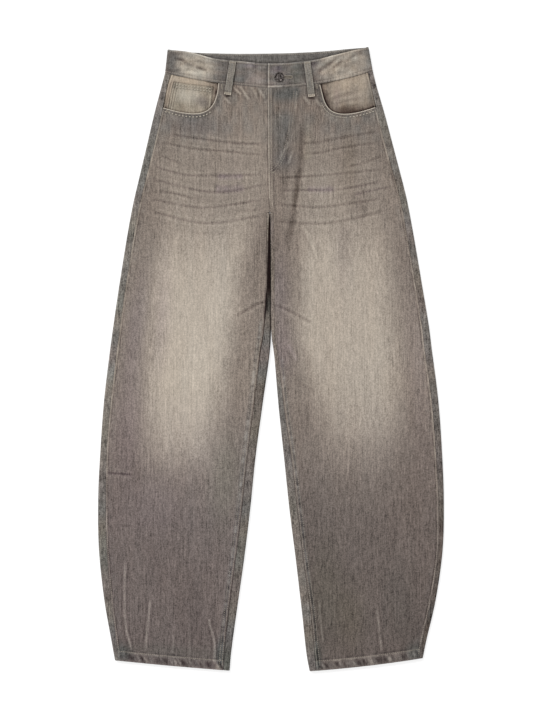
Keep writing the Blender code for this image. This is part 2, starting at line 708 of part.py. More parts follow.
def main():
    clear_scene()
    parts = make_collection("wide_leg_trousers")
    cutters = make_collection("cutters")
    light = make_material("denim_front", DENIM_LIGHT, 0.9)
    mid = make_material("denim_back", DENIM_MID, 0.9)
    dark = make_material("denim_trim", DENIM_DARK, 0.9)
    metal = make_material("button_metal", OLD_METAL, 0.45, 0.8)
    for leg in (LEFT, RIGHT):
        make_front(leg, light, parts, cutters)
        make_back(leg, mid, parts)
        make_yoke(leg, mid, parts)
        make_facing(leg, light, parts)
        make_back_pocket(leg, mid, parts)
    make_coin_pocket(light, parts)
    make_fly_shield(mid, parts)
    make_waistband(dark, parts, cutters)
    make_loops(dark, parts)
    make_button(metal, parts)
    garment = bpy.data.objects.new("trousers", None)
    parts.objects.link(garment)
    for item in parts.objects:
        if item is not garment:
            item.parent = garment


main()
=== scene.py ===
"""Wide-leg trousers in washed denim, laid flat on their back and seen from above.

Sizes are in millimetres until points become vertices. 'down' is a distance from the
top of the waist towards the hems, and 'left' and 'right' are the sides as seen from
above. Each leg is worked out from a table of courses, lines across the leg, and every
panel, crease, fade and stitch is placed by x and down on it.
"""
import math
from collections import namedtuple

import bpy
import numpy as np
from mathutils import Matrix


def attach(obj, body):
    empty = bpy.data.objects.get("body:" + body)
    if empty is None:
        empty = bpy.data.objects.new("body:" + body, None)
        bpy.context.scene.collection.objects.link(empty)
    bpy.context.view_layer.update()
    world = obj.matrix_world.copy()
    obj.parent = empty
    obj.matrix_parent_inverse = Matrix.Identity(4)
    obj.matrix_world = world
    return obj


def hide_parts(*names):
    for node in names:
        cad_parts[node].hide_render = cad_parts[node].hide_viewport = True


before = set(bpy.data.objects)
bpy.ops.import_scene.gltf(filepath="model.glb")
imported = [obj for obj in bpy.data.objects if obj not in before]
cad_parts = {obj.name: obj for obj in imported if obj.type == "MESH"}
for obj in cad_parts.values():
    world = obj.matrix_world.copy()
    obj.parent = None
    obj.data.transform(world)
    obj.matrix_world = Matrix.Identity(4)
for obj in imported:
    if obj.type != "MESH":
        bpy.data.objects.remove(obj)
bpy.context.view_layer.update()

MM = 0.001


def table(kind, rows):
    """Rows of one kind, whose last columns may be left to their defaults."""
    return [kind(*row) for row in rows]


# Driving sizes of the whole garment
HALF_LENGTH = 546.5
CLOTH = 1.5
BAND_CLOTH = 2.4
FACING_CLOTH = 1.2
COIN_CLOTH = 1.0
BACK_POCKET_CLOTH = 1.2
LOOP_CLOTH = 1.3
SEAM_GAP = 0.36
CENTRE_GAP = 0.04
LAYER_GAP = 0.3
FINE_STEPS = 4000

# Courses of a leg, one row each: the outline and how far down it is there, the
# width of the back panel that wraps to the side seam, how far down the front and
# the back of the course are at the inner edge, the inner edge, the width of the
# back panel that wraps to the inseam, and the sag of the line between its ends.
Course = namedtuple("Course", "down outline strip front_in back_in inner inseam sag")
LEFT_COURSES = table(Course, (
    (46, -185.5, 10.5, 72, 56, -5.8, 6.0, 3.7),
    (71, -192.2, 9.6, 98, 120, -5.6, 6.0, 3.5),
    (119, -204.8, 12.2, 141, 159, -5.2, 6.0, 2.6),
    (180, -219.1, 12.6, 197, 208, -4.7, 6.0, 1.8),
    (236, -232.4, 11.9, 252, 254, -3.9, 6.0, 0.9),
    (276, -241.7, 11.5, 291, 291, -1.95, 6.0, 0.0),
    (337, -252.9, 11.5, 351, 351, -0.45, 6.0, 0.0),
    (425, -266.9, 11.5, 438, 438, -0.15, 7.2, 0.0),
    (486, -275.8, 11.9, 499, 499, 0.0, 12.2, 0.0),
    (530, -281.8, 12.2, 543, 543, -3.0, 16.2, 0.0),
    (617, -292.2, 11.9, 631, 631, -15.4, 14.6, 0.0),
    (705, -298.7, 11.2, 719, 719, -27.1, 13.8, 0.0),
    (792, -302.8, 13.4, 807, 807, -36.1, 14.1, 0.0),
    (880, -301.4, 13.8, 895, 895, -46.8, 14.3, 0.0),
    (967, -292.2, 12.0, 983, 983, -59.2, 13.5, 0.0),
    (1037, -280.0, 8.8, 1055, 1055, -69.1, 11.4, 0.4),
    (1074, -273.3, 6.3, 1092, 1092, -72.5, 10.5, 0.7),
))
RIGHT_COURSES = table(Course, (
    (42, 178.2, 8.4, 72, 56, -5.8, 6.0, 7.4),
    (71, 185.5, 8.8, 98, 120, -5.6, 6.0, 6.3),
    (119, 199.5, 12.2, 141, 159, -5.2, 6.0, 4.2),
    (180, 215.6, 13.0, 197, 208, -4.7, 6.0, 2.1),
    (236, 230.3, 11.6, 252, 254, -3.9, 6.0, 0.9),
    (276, 239.8, 11.2, 291, 291, -1.93, 6.0, 0.0),
    (337, 251.1, 11.4, 351, 351, -0.43, 6.0, 0.0),
    (425, 266.0, 11.4, 438, 438, -0.13, 6.0, 0.0),
    (486, 276.2, 12.2, 499, 499, 0.4, 6.0, 0.0),
    (530, 281.8, 12.6, 545, 545, 6.1, 6.6, 0.0),
    (617, 292.9, 11.8, 633, 633, 13.7, 9.0, 0.0),
    (705, 299.4, 10.9, 722, 722, 23.1, 12.2, 0.0),
    (792, 302.8, 9.8, 812, 812, 32.6, 13.2, 0.0),
    (880, 300.8, 7.9, 901, 901, 43.8, 12.6, 0.0),
    (967, 288.8, 8.4, 990, 990, 54.2, 14.4, 0.0),
    (1037, 272.7, 7.9, 1060, 1060, 61.8, 13.4, 1.4),
    (1070, 266.0, 6.3, 1093, 1093, 67.7, 11.0, 2.3),
))

# Course numbers that mean something
WAIST_SEAM = 0.0
YOKE_SEAM = 1.0
CROTCH = 5.0
HEM = 16.0

# Heights: the top of the front down the garment, and what lifts the back off the floor
HEIGHT_DOWN = (0, 110, 190, 300, 500, 1100)
HEIGHT_TOP = (8.6, 8.6, 7.7, 6.9, 6.9, 6.9)
WAIST_LIFT = LOOP_CLOTH + LAYER_GAP
POCKET_LIFT = BACK_POCKET_CLOTH + LAYER_GAP
POCKET_LIFT_ROWS = (1.5, 1.85, 4.9, 5.3)
POCKET_LIFT_COLUMNS = (0.03, 0.15, 0.85, 0.96)

# How far the back's relief and spots count on its lips, its folds and its underside
LIP_FOLD, SIDE_FOLD, UNDER_FOLD = 0.25, 0.6, 0.3

# Waistband: the side folds at its two edges, and its upper edge front and back
BAND_FOLD = {"left": (-181.1, -185.5), "right": (170.8, 178.2)}
BAND_FRONT_EDGE = ((-181.1, 5.2), (-141.8, 9.7), (-99.8, 20.7), (-54.2, 25.4), (-5.8, 29.6),
                   (25.4, 29.1), (56.0, 25.8), (81.2, 22.3), (109.2, 15.3), (137.0, 8.3),
                   (170.8, 0.8))
BAND_BACK_EDGE = ((-181.1, 5.2), (-141.8, 9.4), (-99.8, 11.1), (-15.8, 11.6), (38.5, 10.4),
                  (94.5, 7.4), (136.5, 3.4), (170.8, 0.8))
BAND_TOP = 9.0
UNDERLAP_TOP = 6.9
OVERLAP_TOP = UNDERLAP_TOP + LAYER_GAP + BAND_CLOTH
UNDERLAP_END = 34.0
UNDERLAP_LOWER = 1.0
CENTRE_FRONT = -5.8
UNDERLAP_X = (CENTRE_FRONT - 34, CENTRE_FRONT - 6)
OVERLAP_X = (UNDERLAP_END + 2, UNDERLAP_END + 24)
INSIDE_RELIEF = -0.4

# Fly: the right front rises over the shield, and the left front dips to meet it, each
# eased between two values of x and below the fly's foot. The shield ends at a course,
# lies a little below the front, and the stitching curves in to the middle.
FLY_RISE = 0.6
FLY_DIP = CLOTH + LAYER_GAP - FLY_RISE
FLY_DOWN = (205.0, 235.0)
FLY_RISE_X = (40.0, 54.0)
FLY_DIP_X = (CENTRE_FRONT - 28, CENTRE_FRONT - 2)
FLY_LENGTH = 140
SHIELD_WIDTH = 38.0
SHIELD_BELOW = 0.25
SHIELD_END = 3.1
FLY_STITCHING = ((45.5, 74.0), (41.0, 110.0), (34.0, 160.0), (30.0, 205.0), (0.0, 222.0))

# Pocket mouths: the handles of each cut edge, from side seam to waist seam
POCKET_MOUTH = {
    "left": ((-188.7, 107.7), (-120.0, 128.0), (-96.0, 120.0), (-91.2, 64.3)),
    "right": ((182.3, 106.7), (148.0, 119.5), (88.0, 134.0), (95.0, 98.0), (84.5, 64.3)),
}
MOUTH_LENGTH = 170
INSIDE_SIGN = {"left": -1, "right": 1}
FACING_DEPTH = 3.3
FACING_RISE = 2.4
FACING_RISE_FROM = (10, 30)
FACING_END = 2.6
FACING_SHARE = 0.6
COIN_ROWS = (0.5, 2.3)
COIN_COLUMNS = (0.045, 0.45, 80)
COIN_TILT = 4.0
COIN_STITCHING = (4.6, 9.2)
BACK_POCKET = ((2.0, 0.2), (2.0, 0.8), (4.3, 0.76), (4.75, 0.5), (4.3, 0.24))

# Belt loops: upper and lower end of the middle line, as x and down
LOOP_WIDTH = 11.5
LOOP_STEP = (0.55, 0.85)
LOOP_ARCH = 1.2
LOOP_HEIGHTS = (BAND_TOP + LAYER_GAP, HEIGHT_TOP[0] + LAYER_GAP)
FRONT_LOOPS = {"left": ((-66.5, 25.1), (-76.0, 84.3)), "right": ((63.0, 25.8), (71.2, 87.9))}
BACK_LOOPS = {"left": ((-112.0, 11.4), (-115.0, 62.0)), "centre": ((-5.8, 12.0), (-5.8, 68.0)),
              "right": ((104.0, 7.4), (108.0, 61.0))}

# Relief and shade of a loop across it, and shade along it: strength, middle, half width
LOOP_RELIEF = ((0.25, 0.88, 0.14), (-0.25, 0.58, 0.12))
LOOP_SHADE = ((17, 0.96, 0.14), (-12, 0.6, 0.13))
LOOP_CREASE = ((-14, 0.9, 0.018),)
LOOP_HEAD, LOOP_HEAD_LIGHT = (0.02, 0.06), 12
LOOP_FOOT, LOOP_FOOT_LIGHT, LOOP_FOOT_COOL = (0.925, 0.94), 40, -0.6

# Button, its profile as radius and height from its middle to its shank, and its
# keyhole buttonhole
BUTTON_X = 14.2
BUTTON_DOWN = 53.4
SHANK_RADIUS = 2.4
BUTTON_PROFILE = ((0, 1.75), (1.6, 1.8), (3.0, 1.75), (3.5, 1.45), (4.1, 1.4), (5.6, 1.55),
                  (6.3, 1.5), (6.8, 1.9), (7.3, 2.15), (7.9, 2.1), (8.35, 1.75), (8.5, 1.25),
                  (8.4, 0.7), (8.0, 0.25), (7.2, 0.0), (SHANK_RADIUS, 0.0))
EYE_RADIUS = 3.0
EYE_ROOM = 0.4
SLIT_END = 36.0
SLIT_HALF = 0.6

# Fineness of the meshes
ROW_PITCH = ((0, 1.5), (330, 1.5), (380, 3.0), (1040, 3.2), (1060, 1.6), (1200, 1.6))
YOKE_PITCH = 1.6
FACING_PITCH = 1.2
SHIELD_PITCH = 3.0
EDGE_COLUMNS = 14
EDGE_PITCH = 0.9
MIDDLE_PITCH = 2.5
FOLD_STEPS = 12
SIDE_LIP_COLUMNS = 9
INNER_LIP_COLUMNS = 16
FACING_COLUMNS = 100
BAND_FRONT_COLUMNS = 118
BAND_BACK_COLUMNS = 90
BAND_UNDERLAP_COLUMNS = 16
BACK_SPANS = ((0, 0.15, 8), (0.15, 0.85, 16), (0.85, 1, 8))
BAND_SPANS = ((0, 0.1, 6), (0.1, 0.88, 26), (0.88, 1, 8))
FAR = 99.0

# Each kind of piece: its wall, how strong its grain is and its slot, and how the grain
# falls where the cloth is light
Cloth = namedtuple("Cloth", "wall grain slot")
CLOTHS = {
    "front": Cloth(CLOTH, 0.054, "denim_front"),
    "back": Cloth(CLOTH, 0.075, "denim_back"),
    "yoke": Cloth(CLOTH, 0.085, "denim_back"),
    "facing": Cloth(FACING_CLOTH, 0.042, "denim_front"),
    "coin pocket": Cloth(COIN_CLOTH, 0.045, "denim_front"),
    "fly shield": Cloth(CLOTH, 0.06, "denim_back"),
    "waistband": Cloth(BAND_CLOTH, 0.05, "denim_trim"),
    "loop": Cloth(LOOP_CLOTH, 0.055, "denim_trim"),
    "back pocket": Cloth(BACK_POCKET_CLOTH, 0.06, "denim_back"),
}
GRAIN_BY_LIGHT = ((100, 1.1), (122, 0.95), (136, 0.8), (152, 0.8), (178, 0.52))

# Lightness, coolness and purple that the small pieces start from
SHADES = {"coin pocket": (148, 0.0, -0.8), "fly shield": (104, 0.5), "waistband": (112, 0.6),
          "loop": (127, 0.7, -0.3), "back pocket": (112, 0.4, 0.2)}

# Cloudiness of each kind of piece: its strength, width, length and number, and its tint
CLOUDS = {
    "front": ((2.5, 34, 90, 50), (1.8, 9, 45, 52)),
    "back": ((3.0, 8, 30, 2),),
    "waistband": ((9.0, 14, 5, 600), (5.0, 7, 4, 602), (4.0, 5, 14, 606)),
    "facing": ((5.0, 8, 20, 700), (4.0, 4, 9, 702)),
    "coin pocket": ((6.0, 7, 14, 740),),
    "loop": ((6.0, 4, 9, 800),),
    "back pocket": ((5.0, 9, 30, 820),),
}
CLOUD_TINT, TINT_WIDTH = 0.03, 1.3

# Mottling of the front near the waist, its slow swell, and mottling inside the waistband:
# strength, how far it is drawn out down the garment, and pitch
UPPER_END = (130, 190)
UPPER_COOL = 0.18
COOL_MOTTLE = (0.35, 0.5, 9)
LIGHT_MOTTLE = (4.5, 0.45, 4)
FRONT_SWELL = (0.28, 0.6, 46)
INSIDE_MOTTLE = (6, 0.4, 6)
INSIDE_LIGHT, INSIDE_COOL = 107, 0.95

# How lightness, coolness and purple become red, green and blue, all out of 255
LIGHT_RANGE = (16, 235)
COOL_RANGE = (-0.6, 1.3)
COOLING = 0.68
WARM_RED = 11.2
WARM_BLUE = 8.8
WARM_BLUE_BY_LIGHT = 0.085
MIDDLE_LIGHT = 120
BLUE_KEPT = 0.25
PURPLE_RED, PURPLE_GREEN, PURPLE_BLUE = 0.6, 0.5, 4.2

# Fade of each leg, by how far down: lightness (0 to 255) at the outer side, in the middle
# and at the inner side, and where and how softly one passes into the other
Fade = namedtuple("Fade", "down outer outer_mid outer_soft peak inner_mid inner_soft inner")
FADES = {
    "left": table(Fade, (
        (40, 117, -150, 60, 118, -30, 40, 118),
        (136, 121, -150, 60, 125, -30, 40, 127),
        (206, 122, -190, 40, 134, -25, 30, 131),
        (276, 121, -195, 30, 137, -25, 22, 127),
        (329, 125, -189, 30, 154, -34, 22, 121),
        (381, 124, -201, 35, 170, -52, 24, 125),
        (442, 126, -206, 40, 175, -60, 27, 126),
        (512, 126, -207, 42, 177, -70, 30, 127),
        (582, 127, -214, 42, 181, -86, 34, 131),
        (652, 122, -217, 42, 172, -96, 34, 123),
        (705, 116, -217, 42, 154, -103, 34, 120),
        (757, 109, -210, 42, 121, -100, 34, 115),
        (827, 105, -200, 42, 107, -90, 34, 110),
        (915, 102, -200, 42, 101, -90, 34, 107),
        (1002, 100, -200, 42, 97, -90, 34, 102),
        (1095, 99, -200, 42, 97, -90, 34, 101),
    )),
    "right": table(Fade, (
        (40, 115, 150, 60, 115, 60, 40, 108),
        (136, 116, 150, 60, 118, 60, 30, 112),
        (206, 121, 190, 40, 131, 52, 10, 112),
        (276, 124, 195, 30, 138, 52, 14, 121),
        (329, 121, 208, 30, 151, 47, 25, 112),
        (381, 121, 208, 32, 166, 47, 30, 112),
        (442, 129, 210, 30, 168, 50, 32, 118),
        (512, 132, 214, 28, 169, 49, 34, 124),
        (582, 133, 219, 28, 167, 70, 34, 124),
        (652, 121, 221, 30, 157, 86, 34, 117),
        (705, 112, 219, 34, 135, 93, 34, 117),
        (757, 106, 215, 34, 114, 90, 34, 106),
        (827, 102, 215, 34, 102, 90, 34, 101),
        (915, 97, 215, 34, 96, 90, 34, 96),
        (1002, 91, 215, 34, 93, 90, 34, 92),
        (1095, 87, 215, 34, 91, 90, 34, 90),
    )),
}
# How purple each leg is, by how far down
PURPLE_DOWN = (0, 300, 600, 700, 830, 1095)
PURPLE = {"left": (-0.2, 0.0, 0.0, 0.4, 0.8, 0.7), "right": (-0.2, 0.0, 0.0, 0.2, 0.4, 0.4)}

# The back where it shows, by how far down: its lightness, half the width of the painted
# shadow between the legs and how dark it is, and where the inner strip stops being like
# the front. Then its shade and unevenness, and the spots of its outer fold.
BACK_DOWN = (0, 300, 600, 760, 900, 1100)
BACK_LIGHT = {"left": (110, 115, 121, 113, 109, 105), "right": (112, 113, 110, 96, 88, 85),
              "left inner": (107, 106, 105, 107, 107, 102),
              "right inner": (107, 106, 112, 116, 114, 106)}
CREVICE = ((282, 0.0), (292, 1.2), (306, 3.0), (325, 4.2), (355, 5.2), (390, 6.2), (425, 7.4),
           (434, 7.0), (452, 3.6), (470, 2.2), (505, 2.8), (530, 1.5), (560, 0.0))
CREVICE_LIGHT = ((420, 14), (438, 52), (452, 66), (466, 62), (486, 44), (520, 46))
CREVICE_SOFT = 0.7
# Painted shadow under the crotch and beside the inseam there: how dark each is, between which distances
# down, and how far from the inner edge the second begins
CROTCH_SHADE, SEAM_SHADE = 34, 46
CROTCH_DOWN = (420, 440, 440, 482)
SEAM_DOWN = (424, 436, 452, 476)
SEAM_SHADE_FROM = (3, 7)
FRONT_LIKE = {"left": (410, 450), "right": (540, 600)}
FRONT_LIKE_COOL = 0.1
INNER_STRIP = 40
BACK_COOL = {"left": 0.7, "right": 0.5, "inner": 0.65}
BACK_SPOT_PITCH = 7.5
BACK_SPOT_LIGHT = {"inner": 3, "outer": -13}
BACK_SPOT_HEIGHT = {"inner": 0.1, "outer": 0.3}
BACK_COOL_WAVE, BACK_PURPLE_WAVE = (0.4, 30), (0.5, 45)
BACK_PURPLE = -0.1
BESIDE_FACING = (70, 78, 108, 116)
BESIDE_FACING_LIGHT = (34, 0.29, 0.035)
# Painted shade along the inner fold: how dark, its middle and half width from the inner edge, and
# between which distances down it fades out
INNER_SHADE = (26, 0.0, 2.0)
INNER_SHADE_END = (560, 760)
FACING_LIGHT = {"left": 145, "right": 138}

# Creases: points that the line runs through, as (x, down), half its width, how much
# lighter it is out of 255, how far it stands up or sinks, and how much more purple it is
# Their lightness is partly the wash and partly painted light: darker troughs are partly painted shade,
# lighter ridges partly painted highlight
Crease = namedtuple("Crease", "points half_width light height purple", defaults=(-0.4, 0))
CREASES = table(Crease, (
    (((-180, 153), (-124, 161), (-70, 168), (-10, 171)), 2.2, -20, -0.4, 0.1),
    (((-198, 166), (-131, 179), (-80, 183), (-12, 190)), 2.1, -19),
    (((-194, 190), (-172, 199), (-154, 206)), 2.1, -13, -0.3),
    (((-205, 209), (-158, 223), (-114, 226), (-10, 224)), 2.2, -19, -0.4, 0.2),
    (((-95, 227), (-70, 228), (-48, 227)), 5, -7, -0.1, 1.2),
    (((-217, 229), (-124, 252), (-70, 253), (-7, 240)), 2.3, -18, -0.4, 0.2),
    (((-100, 248), (-70, 249), (-45, 247)), 6.5, -8, -0.1, 1.2),
    (((-194, 253), (-172, 256), (-131, 267)), 2, -20),
    (((-212, 266), (-140, 280), (-102, 281), (-9, 267)), 2.2, -18, -0.4, 0.1),
    (((-212, 287), (-140, 306), (-91, 308), (-15, 295)), 2.4, -18, -0.4, 0.1),
    (((-59, 289), (-37, 287), (-15, 284)), 2, -12, -0.3),
    (((54, 169), (84, 167), (124, 159), (192, 148)), 2.6, -15),
    (((57, 187), (89, 185), (124, 177), (192, 167)), 2.2, -18),
    (((134, 210), (159, 204), (196, 191)), 2.2, -14, -0.3),
    (((9, 230), (60, 227), (104, 224), (201, 214)), 2.1, -19),
    (((17, 252), (60, 251), (119, 250), (200, 234)), 2.2, -18, -0.4, 0.2),
    (((62, 249), (85, 250), (112, 249)), 5.5, -8, -0.1, 1.2),
    (((144, 260), (174, 252), (209, 245)), 2.2, -15, -0.3, 0.4),
    (((9, 275), (60, 280), (96, 280), (201, 265)), 2.3, -18),
    (((9, 305), (60, 309), (114, 307), (209, 285)), 2.6, -17),
    (((-170, 322), (-120, 328), (-60, 326)), 3, -5, -0.2),
    (((54, 131), (54, 192), (48, 232), (42, 274), (32, 343)), 5, -21, -1.3, -0.2),
    (((47, 240), (43, 262), (38, 290)), 3.4, -12, -0.4, -0.3),
    (((66, 131), (64, 170), (62, 200)), 7, 4, 0.5, -0.4),
    (((51, 306), (46, 355), (49, 425), (47, 477)), 3, -8),
    (((58, 316), (70, 343), (82, 372)), 2.3, 22, 0.3),
    (((66, 323), (77, 348), (86, 365)), 2.2, 14, 0.2),
    (((-66, 473), (-44, 462), (-28, 452), (-8, 445)), 2.3, -27, -0.6),
    (((2, 450), (24, 458), (54, 474), (70, 483)), 2.3, -27, -0.6),
    (((30, 521), (38, 535), (46, 551)), 3, 9, 0.3, 0.8),
    (((44, 586), (56, 593), (72, 602)), 3, -12, -0.5),
    (((56, 525), (63, 547), (66, 574)), 3.5, -10),
    (((-60, 553), (-44, 540), (-26, 530)), 4, -8),
    (((-65, 70), (-60, 77), (-52, 84)), 1.9, 33, 0.4),
    (((-54, 70), (-49, 77), (-38, 94)), 1.9, 30, 0.4),
    (((-35, 71), (-28, 80), (-24, 91)), 1.9, 21, 0.3),
    (((-23, 73), (-16, 82), (-10, 91)), 1.9, 21, 0.3),
    (((-82, 87), (-77, 94), (-72, 99)), 1.9, 27, 0.3),
    (((46, 78), (44, 87), (42, 112)), 1.9, 30, 0.4),
    (((56, 87), (63, 94), (68, 101)), 1.9, 27, 0.3),
    (((79, 91), (82, 98), (88, 105)), 1.9, 27, 0.3),
    (((12, 114), (17, 121), (22, 125)), 1.9, 21, 0.3),
    (((30, 166), (28, 176), (23, 183), (21, 200)), 2, 24, 0.5),
    (((37, 182), (34, 194), (29, 206)), 2, 20, 0.3),
    (((21, 172), (19, 184), (16, 196)), 2, 18, 0.3),
    (((28, 126), (28, 150), (29, 167)), 2.2, -20, -0.5),
    (((27, 188), (26, 196), (24, 204)), 3.2, -18, -0.5, 0.2),
    (((12, 103), (12, 140), (11, 190)), 2.6, -7, -0.2, -0.2),
    (((-264, 838), (-252, 839), (-238, 839.5)), 1.5, -12, -0.2),
    (((-289, 745), (-268, 747), (-243, 749)), 2.2, -30, -0.4, 0.4),
    (((-255.5, 897), (-255.5, 1000), (-244, 1058)), 1.9, 32, 0.2),
    (((-211, 965), (-216, 1015), (-220.5, 1060)), 1.9, 32, 0.2),
    (((-170.6, 1028), (-170.6, 1046), (-173, 1062)), 1.9, 24, 0.2),
    (((-142.8, 1009), (-142.6, 1036), (-142.9, 1064)), 1.9, 17, 0.2),
    (((-107.8, 1000), (-107, 1012), (-99, 1042), (-99.8, 1084)), 1.9, 37, 0.2),
    (((184.5, 981), (189.5, 1020), (193.6, 1060)), 1.9, 34, 0.2),
    (((84, 965), (86, 1000), (92, 1045)), 1.9, 22, 0.2),
))
FACING_CREASES = table(Crease, (
    (((100, 89), (117, 82), (142, 75)), 2.6, 10, 0.5),
    (((108, 98), (130, 91), (159, 84)), 2.6, 10, 0.5),
    (((117, 105), (135, 99), (156, 98)), 2.6, 10, 0.5),
    (((-160, 70), (-166, 88), (-168, 108)), 1.3, -18, -0.2),
    (((-166, 67), (-172, 88), (-174, 107)), 1.3, -14, -0.2),
))
BAND_CREASES = table(Crease, (
    (((83, 44), (94, 36), (118, 19)), 2.8, -34, -0.7),
    (((88, 31), (98, 24), (111, 17)), 3.6, 12, 0.3),
    (((108, 38), (118, 30), (125, 24)), 2.6, -28, -0.6),
    (((101, 46), (112, 42), (122, 36)), 3, 13, 0.3),
    (((131, 27), (140, 19), (148, 15)), 2.4, -20),
    (((138, 20), (150, 13), (161, 9)), 3.4, -14),
    (((126, 36), (142, 29), (158, 27)), 3, -12, -0.3),
    (((-170, 20), (-158, 23), (-146, 27)), 2.4, -28),
    (((-132, 37), (-122, 39), (-112, 42)), 2.4, -30),
    (((-160, 31), (-150, 30), (-138, 34)), 2, -18, -0.3),
    (((-142, 24), (-130, 25), (-116, 29)), 2, -14, -0.2),
    (((-150, 40), (-138, 41), (-126, 45)), 2, -15, -0.2),
    (((-116, 33), (-106, 34), (-98, 38)), 2, 12, 0.2),
    (((-149, 15), (-142, 17), (-132, 18)), 2.6, -14, -0.2),
    (((-168, 40), (-158, 42), (-146, 44)), 2.8, -14, -0.2),
    (((-8, 70.6), (4, 70.2), (22, 69.6)), 1.2, 40, 0.2),
))
# Each crease fades out over a share of its length at both ends, and swings in strength
# along it. The swell beside it is so many half widths away, and lower than the crease.
CREASE_END = 0.09
CREASE_STRENGTH = 0.88
CREASE_SWING = 0.26
CREASE_RUN, CREASE_WAVE = 120, 14
LINE_LIGHT = 1.1
SWELL_AT, SWELL_HALF = 2.2, 1.1
SWELL_HEIGHT, SWELL_LIGHT = 0.4, 0.42

# Washed patches: middle, half width and half height, how much lighter (out of 255),
# bluer and more purple they are, tilt in degrees, and how square the fall-off is
Patch = namedtuple("Patch", "x down half_width half_height light cool purple tilt square",
                   defaults=(0, 0, 0, 1.2))
FRONT_PATCHES = table(Patch, (
    (-135, 138, 50, 20, -15, 0.4, 0.3, 3, 1.3),
    (133, 146, 62, 17, 0, 0.2, 0.1, -4),
    (28, 80, 27, 14, -14, 1.15, 0, 0, 1.5),
    (22, 150, 16, 50, -6, 0.75, 0.1, 3, 1.3),
    (24, 200, 22, 16, -4, 0.6, 0.2, 0, 1),
    (6, 214, 9, 5, -20, 0.2, 0.2, -12),
    (137, 195, 12, 60, -10, 0, -0.3),
    (157, 276, 14, 30, -10),
    (126, 365, 14, 60, -14, 0, 0.2),
    (14, 425, 18, 60, 4, 0.2, 0.8),
    (20, 530, 18, 50, -2, 0.1, 1),
    (-235, 480, 18, 90, -2, 0.2, 0.7, 8),
    (-248, 640, 26, 110, -2, 0, 0.8, 4),
    (-190, 470, 14, 90, -3, 0, 0.7, 4, 1),
    (258, 560, 20, 140, -4, 0, 0.5, -4, 1),
    (-205, 800, 50, 50, 2, 0, 0.4),
    (-80, 760, 26, 80, 2, 0.3, -0.8, 4),
    (95, 960, 30, 90, -1, 0.2, -0.7),
    (140, 1000, 26, 60, 1, 0, -0.7),
    (225, 990, 30, 70, -2, 0.2, -0.2),
    (-160, 1060, 120, 12, -1, 0.3, -0.4, 5),
    (-60, 190, 20, 60, 2, 0, 0.1),
    (0, 960, 420, 270, 0, 0.25, -0.15, 0, 2.5),
    (-262, 1060, 17, 14, -4, 0.8, -0.5, 4, 1.5),
    (-88, 1060, 9, 24, -5, 0.9, -0.4, 0, 1.5),
    (-91, 1085, 6, 5, 26, -0.2, -0.4, 0, 1.5),
    (78, 1066, 10, 26, -4, 0.8, -0.4, 0, 1.5),
    (252, 1058, 16, 16, -4, 0.7, -0.4, -4, 1.5),
    (97, 262, 30, 105, 6, 0, 0, 0, 2),
    (-25, 190, 26, 100, 4, 0, 0, 0, 2),
    (157, 262, 24, 34, -9, 0, 0, 0, 1.5),
    (192, 190, 14, 40, -6, 0, 0, 0, 1.5),
    # Painted shadow under the feet of the front loops
    (-76.5, 87.2, 7, 1.7, -48, 0, 0, -9, 1.5),
    (71.8, 90.9, 7, 1.7, -48, 0, 0, 8, 1.5),
))
BAND_PATCHES = table(Patch, (
    (-131, 36, 36, 28, 40, -0.5, -0.4, 12, 2.5),
    (-134, 46, 32, 7, 19, 0, 0, 12, 1.5),
    (-124, 17, 28, 6, 17, 0.1, 0, 14, 1.5),
    (-108, 38, 9, 16, 10, 0, 0, 6, 1.5),
    (-175, 22, 8, 24, -20, 0.35, 0, 0, 1.5),
    (-158, 22, 6, 2.4, -22, 0, 0, 16, 1),
    (-121, 39, 7, 2.4, -20, 0, 0, 16, 1),
    (-28, 56, 18, 12, 20, -0.4, 0.5, 4, 1.5),
    (-36, 33, 14, 5, 5, -0.1, 1.2, 4),
    (-49, 56, 6, 9, -9, 0.3),
    (4, 65, 9, 6, 24, -0.3, 0.4, 0, 1.5),
    (8, 42, 10, 8, 4, -0.1, 1, 0, 1.5),
    (22, 52, 14, 15, -7, 0.2, 0.3),
    (43, 50, 12, 20, -6, 0.4, -0.5, 0, 1.5),
    (44, 30, 12, 8, -6, 0.3),
    (128, 30, 46, 28, 31, -0.55, -0.3, -12, 2.5),
    (131, 51, 34, 6, 24, -0.1, 0, -13, 1.5),
    (78, 28, 6, 6, -18, 0, 0.3),
    (97, 51, 6, 4, 10, 0, 0, -12),
    (109, 47, 5, 4, 10, 0, 0, -12),
    (126, 41, 6, 4, 12, 0, 0, -12),
    (14, 37, 4, 7, -16, 0, 0.8),
    (90, 44, 8, 9, 12, -0.5, 0.2, 0, 1.5),
    (74, 31, 5, 10, 2, -0.2, 0.4, 0, 1.5),
    (86, 54, 16, 5, 10, -0.3, 0, -10, 1.5),
    (172, 18, 6, 20, -14, 0.4, 0, 0, 1.5),
))
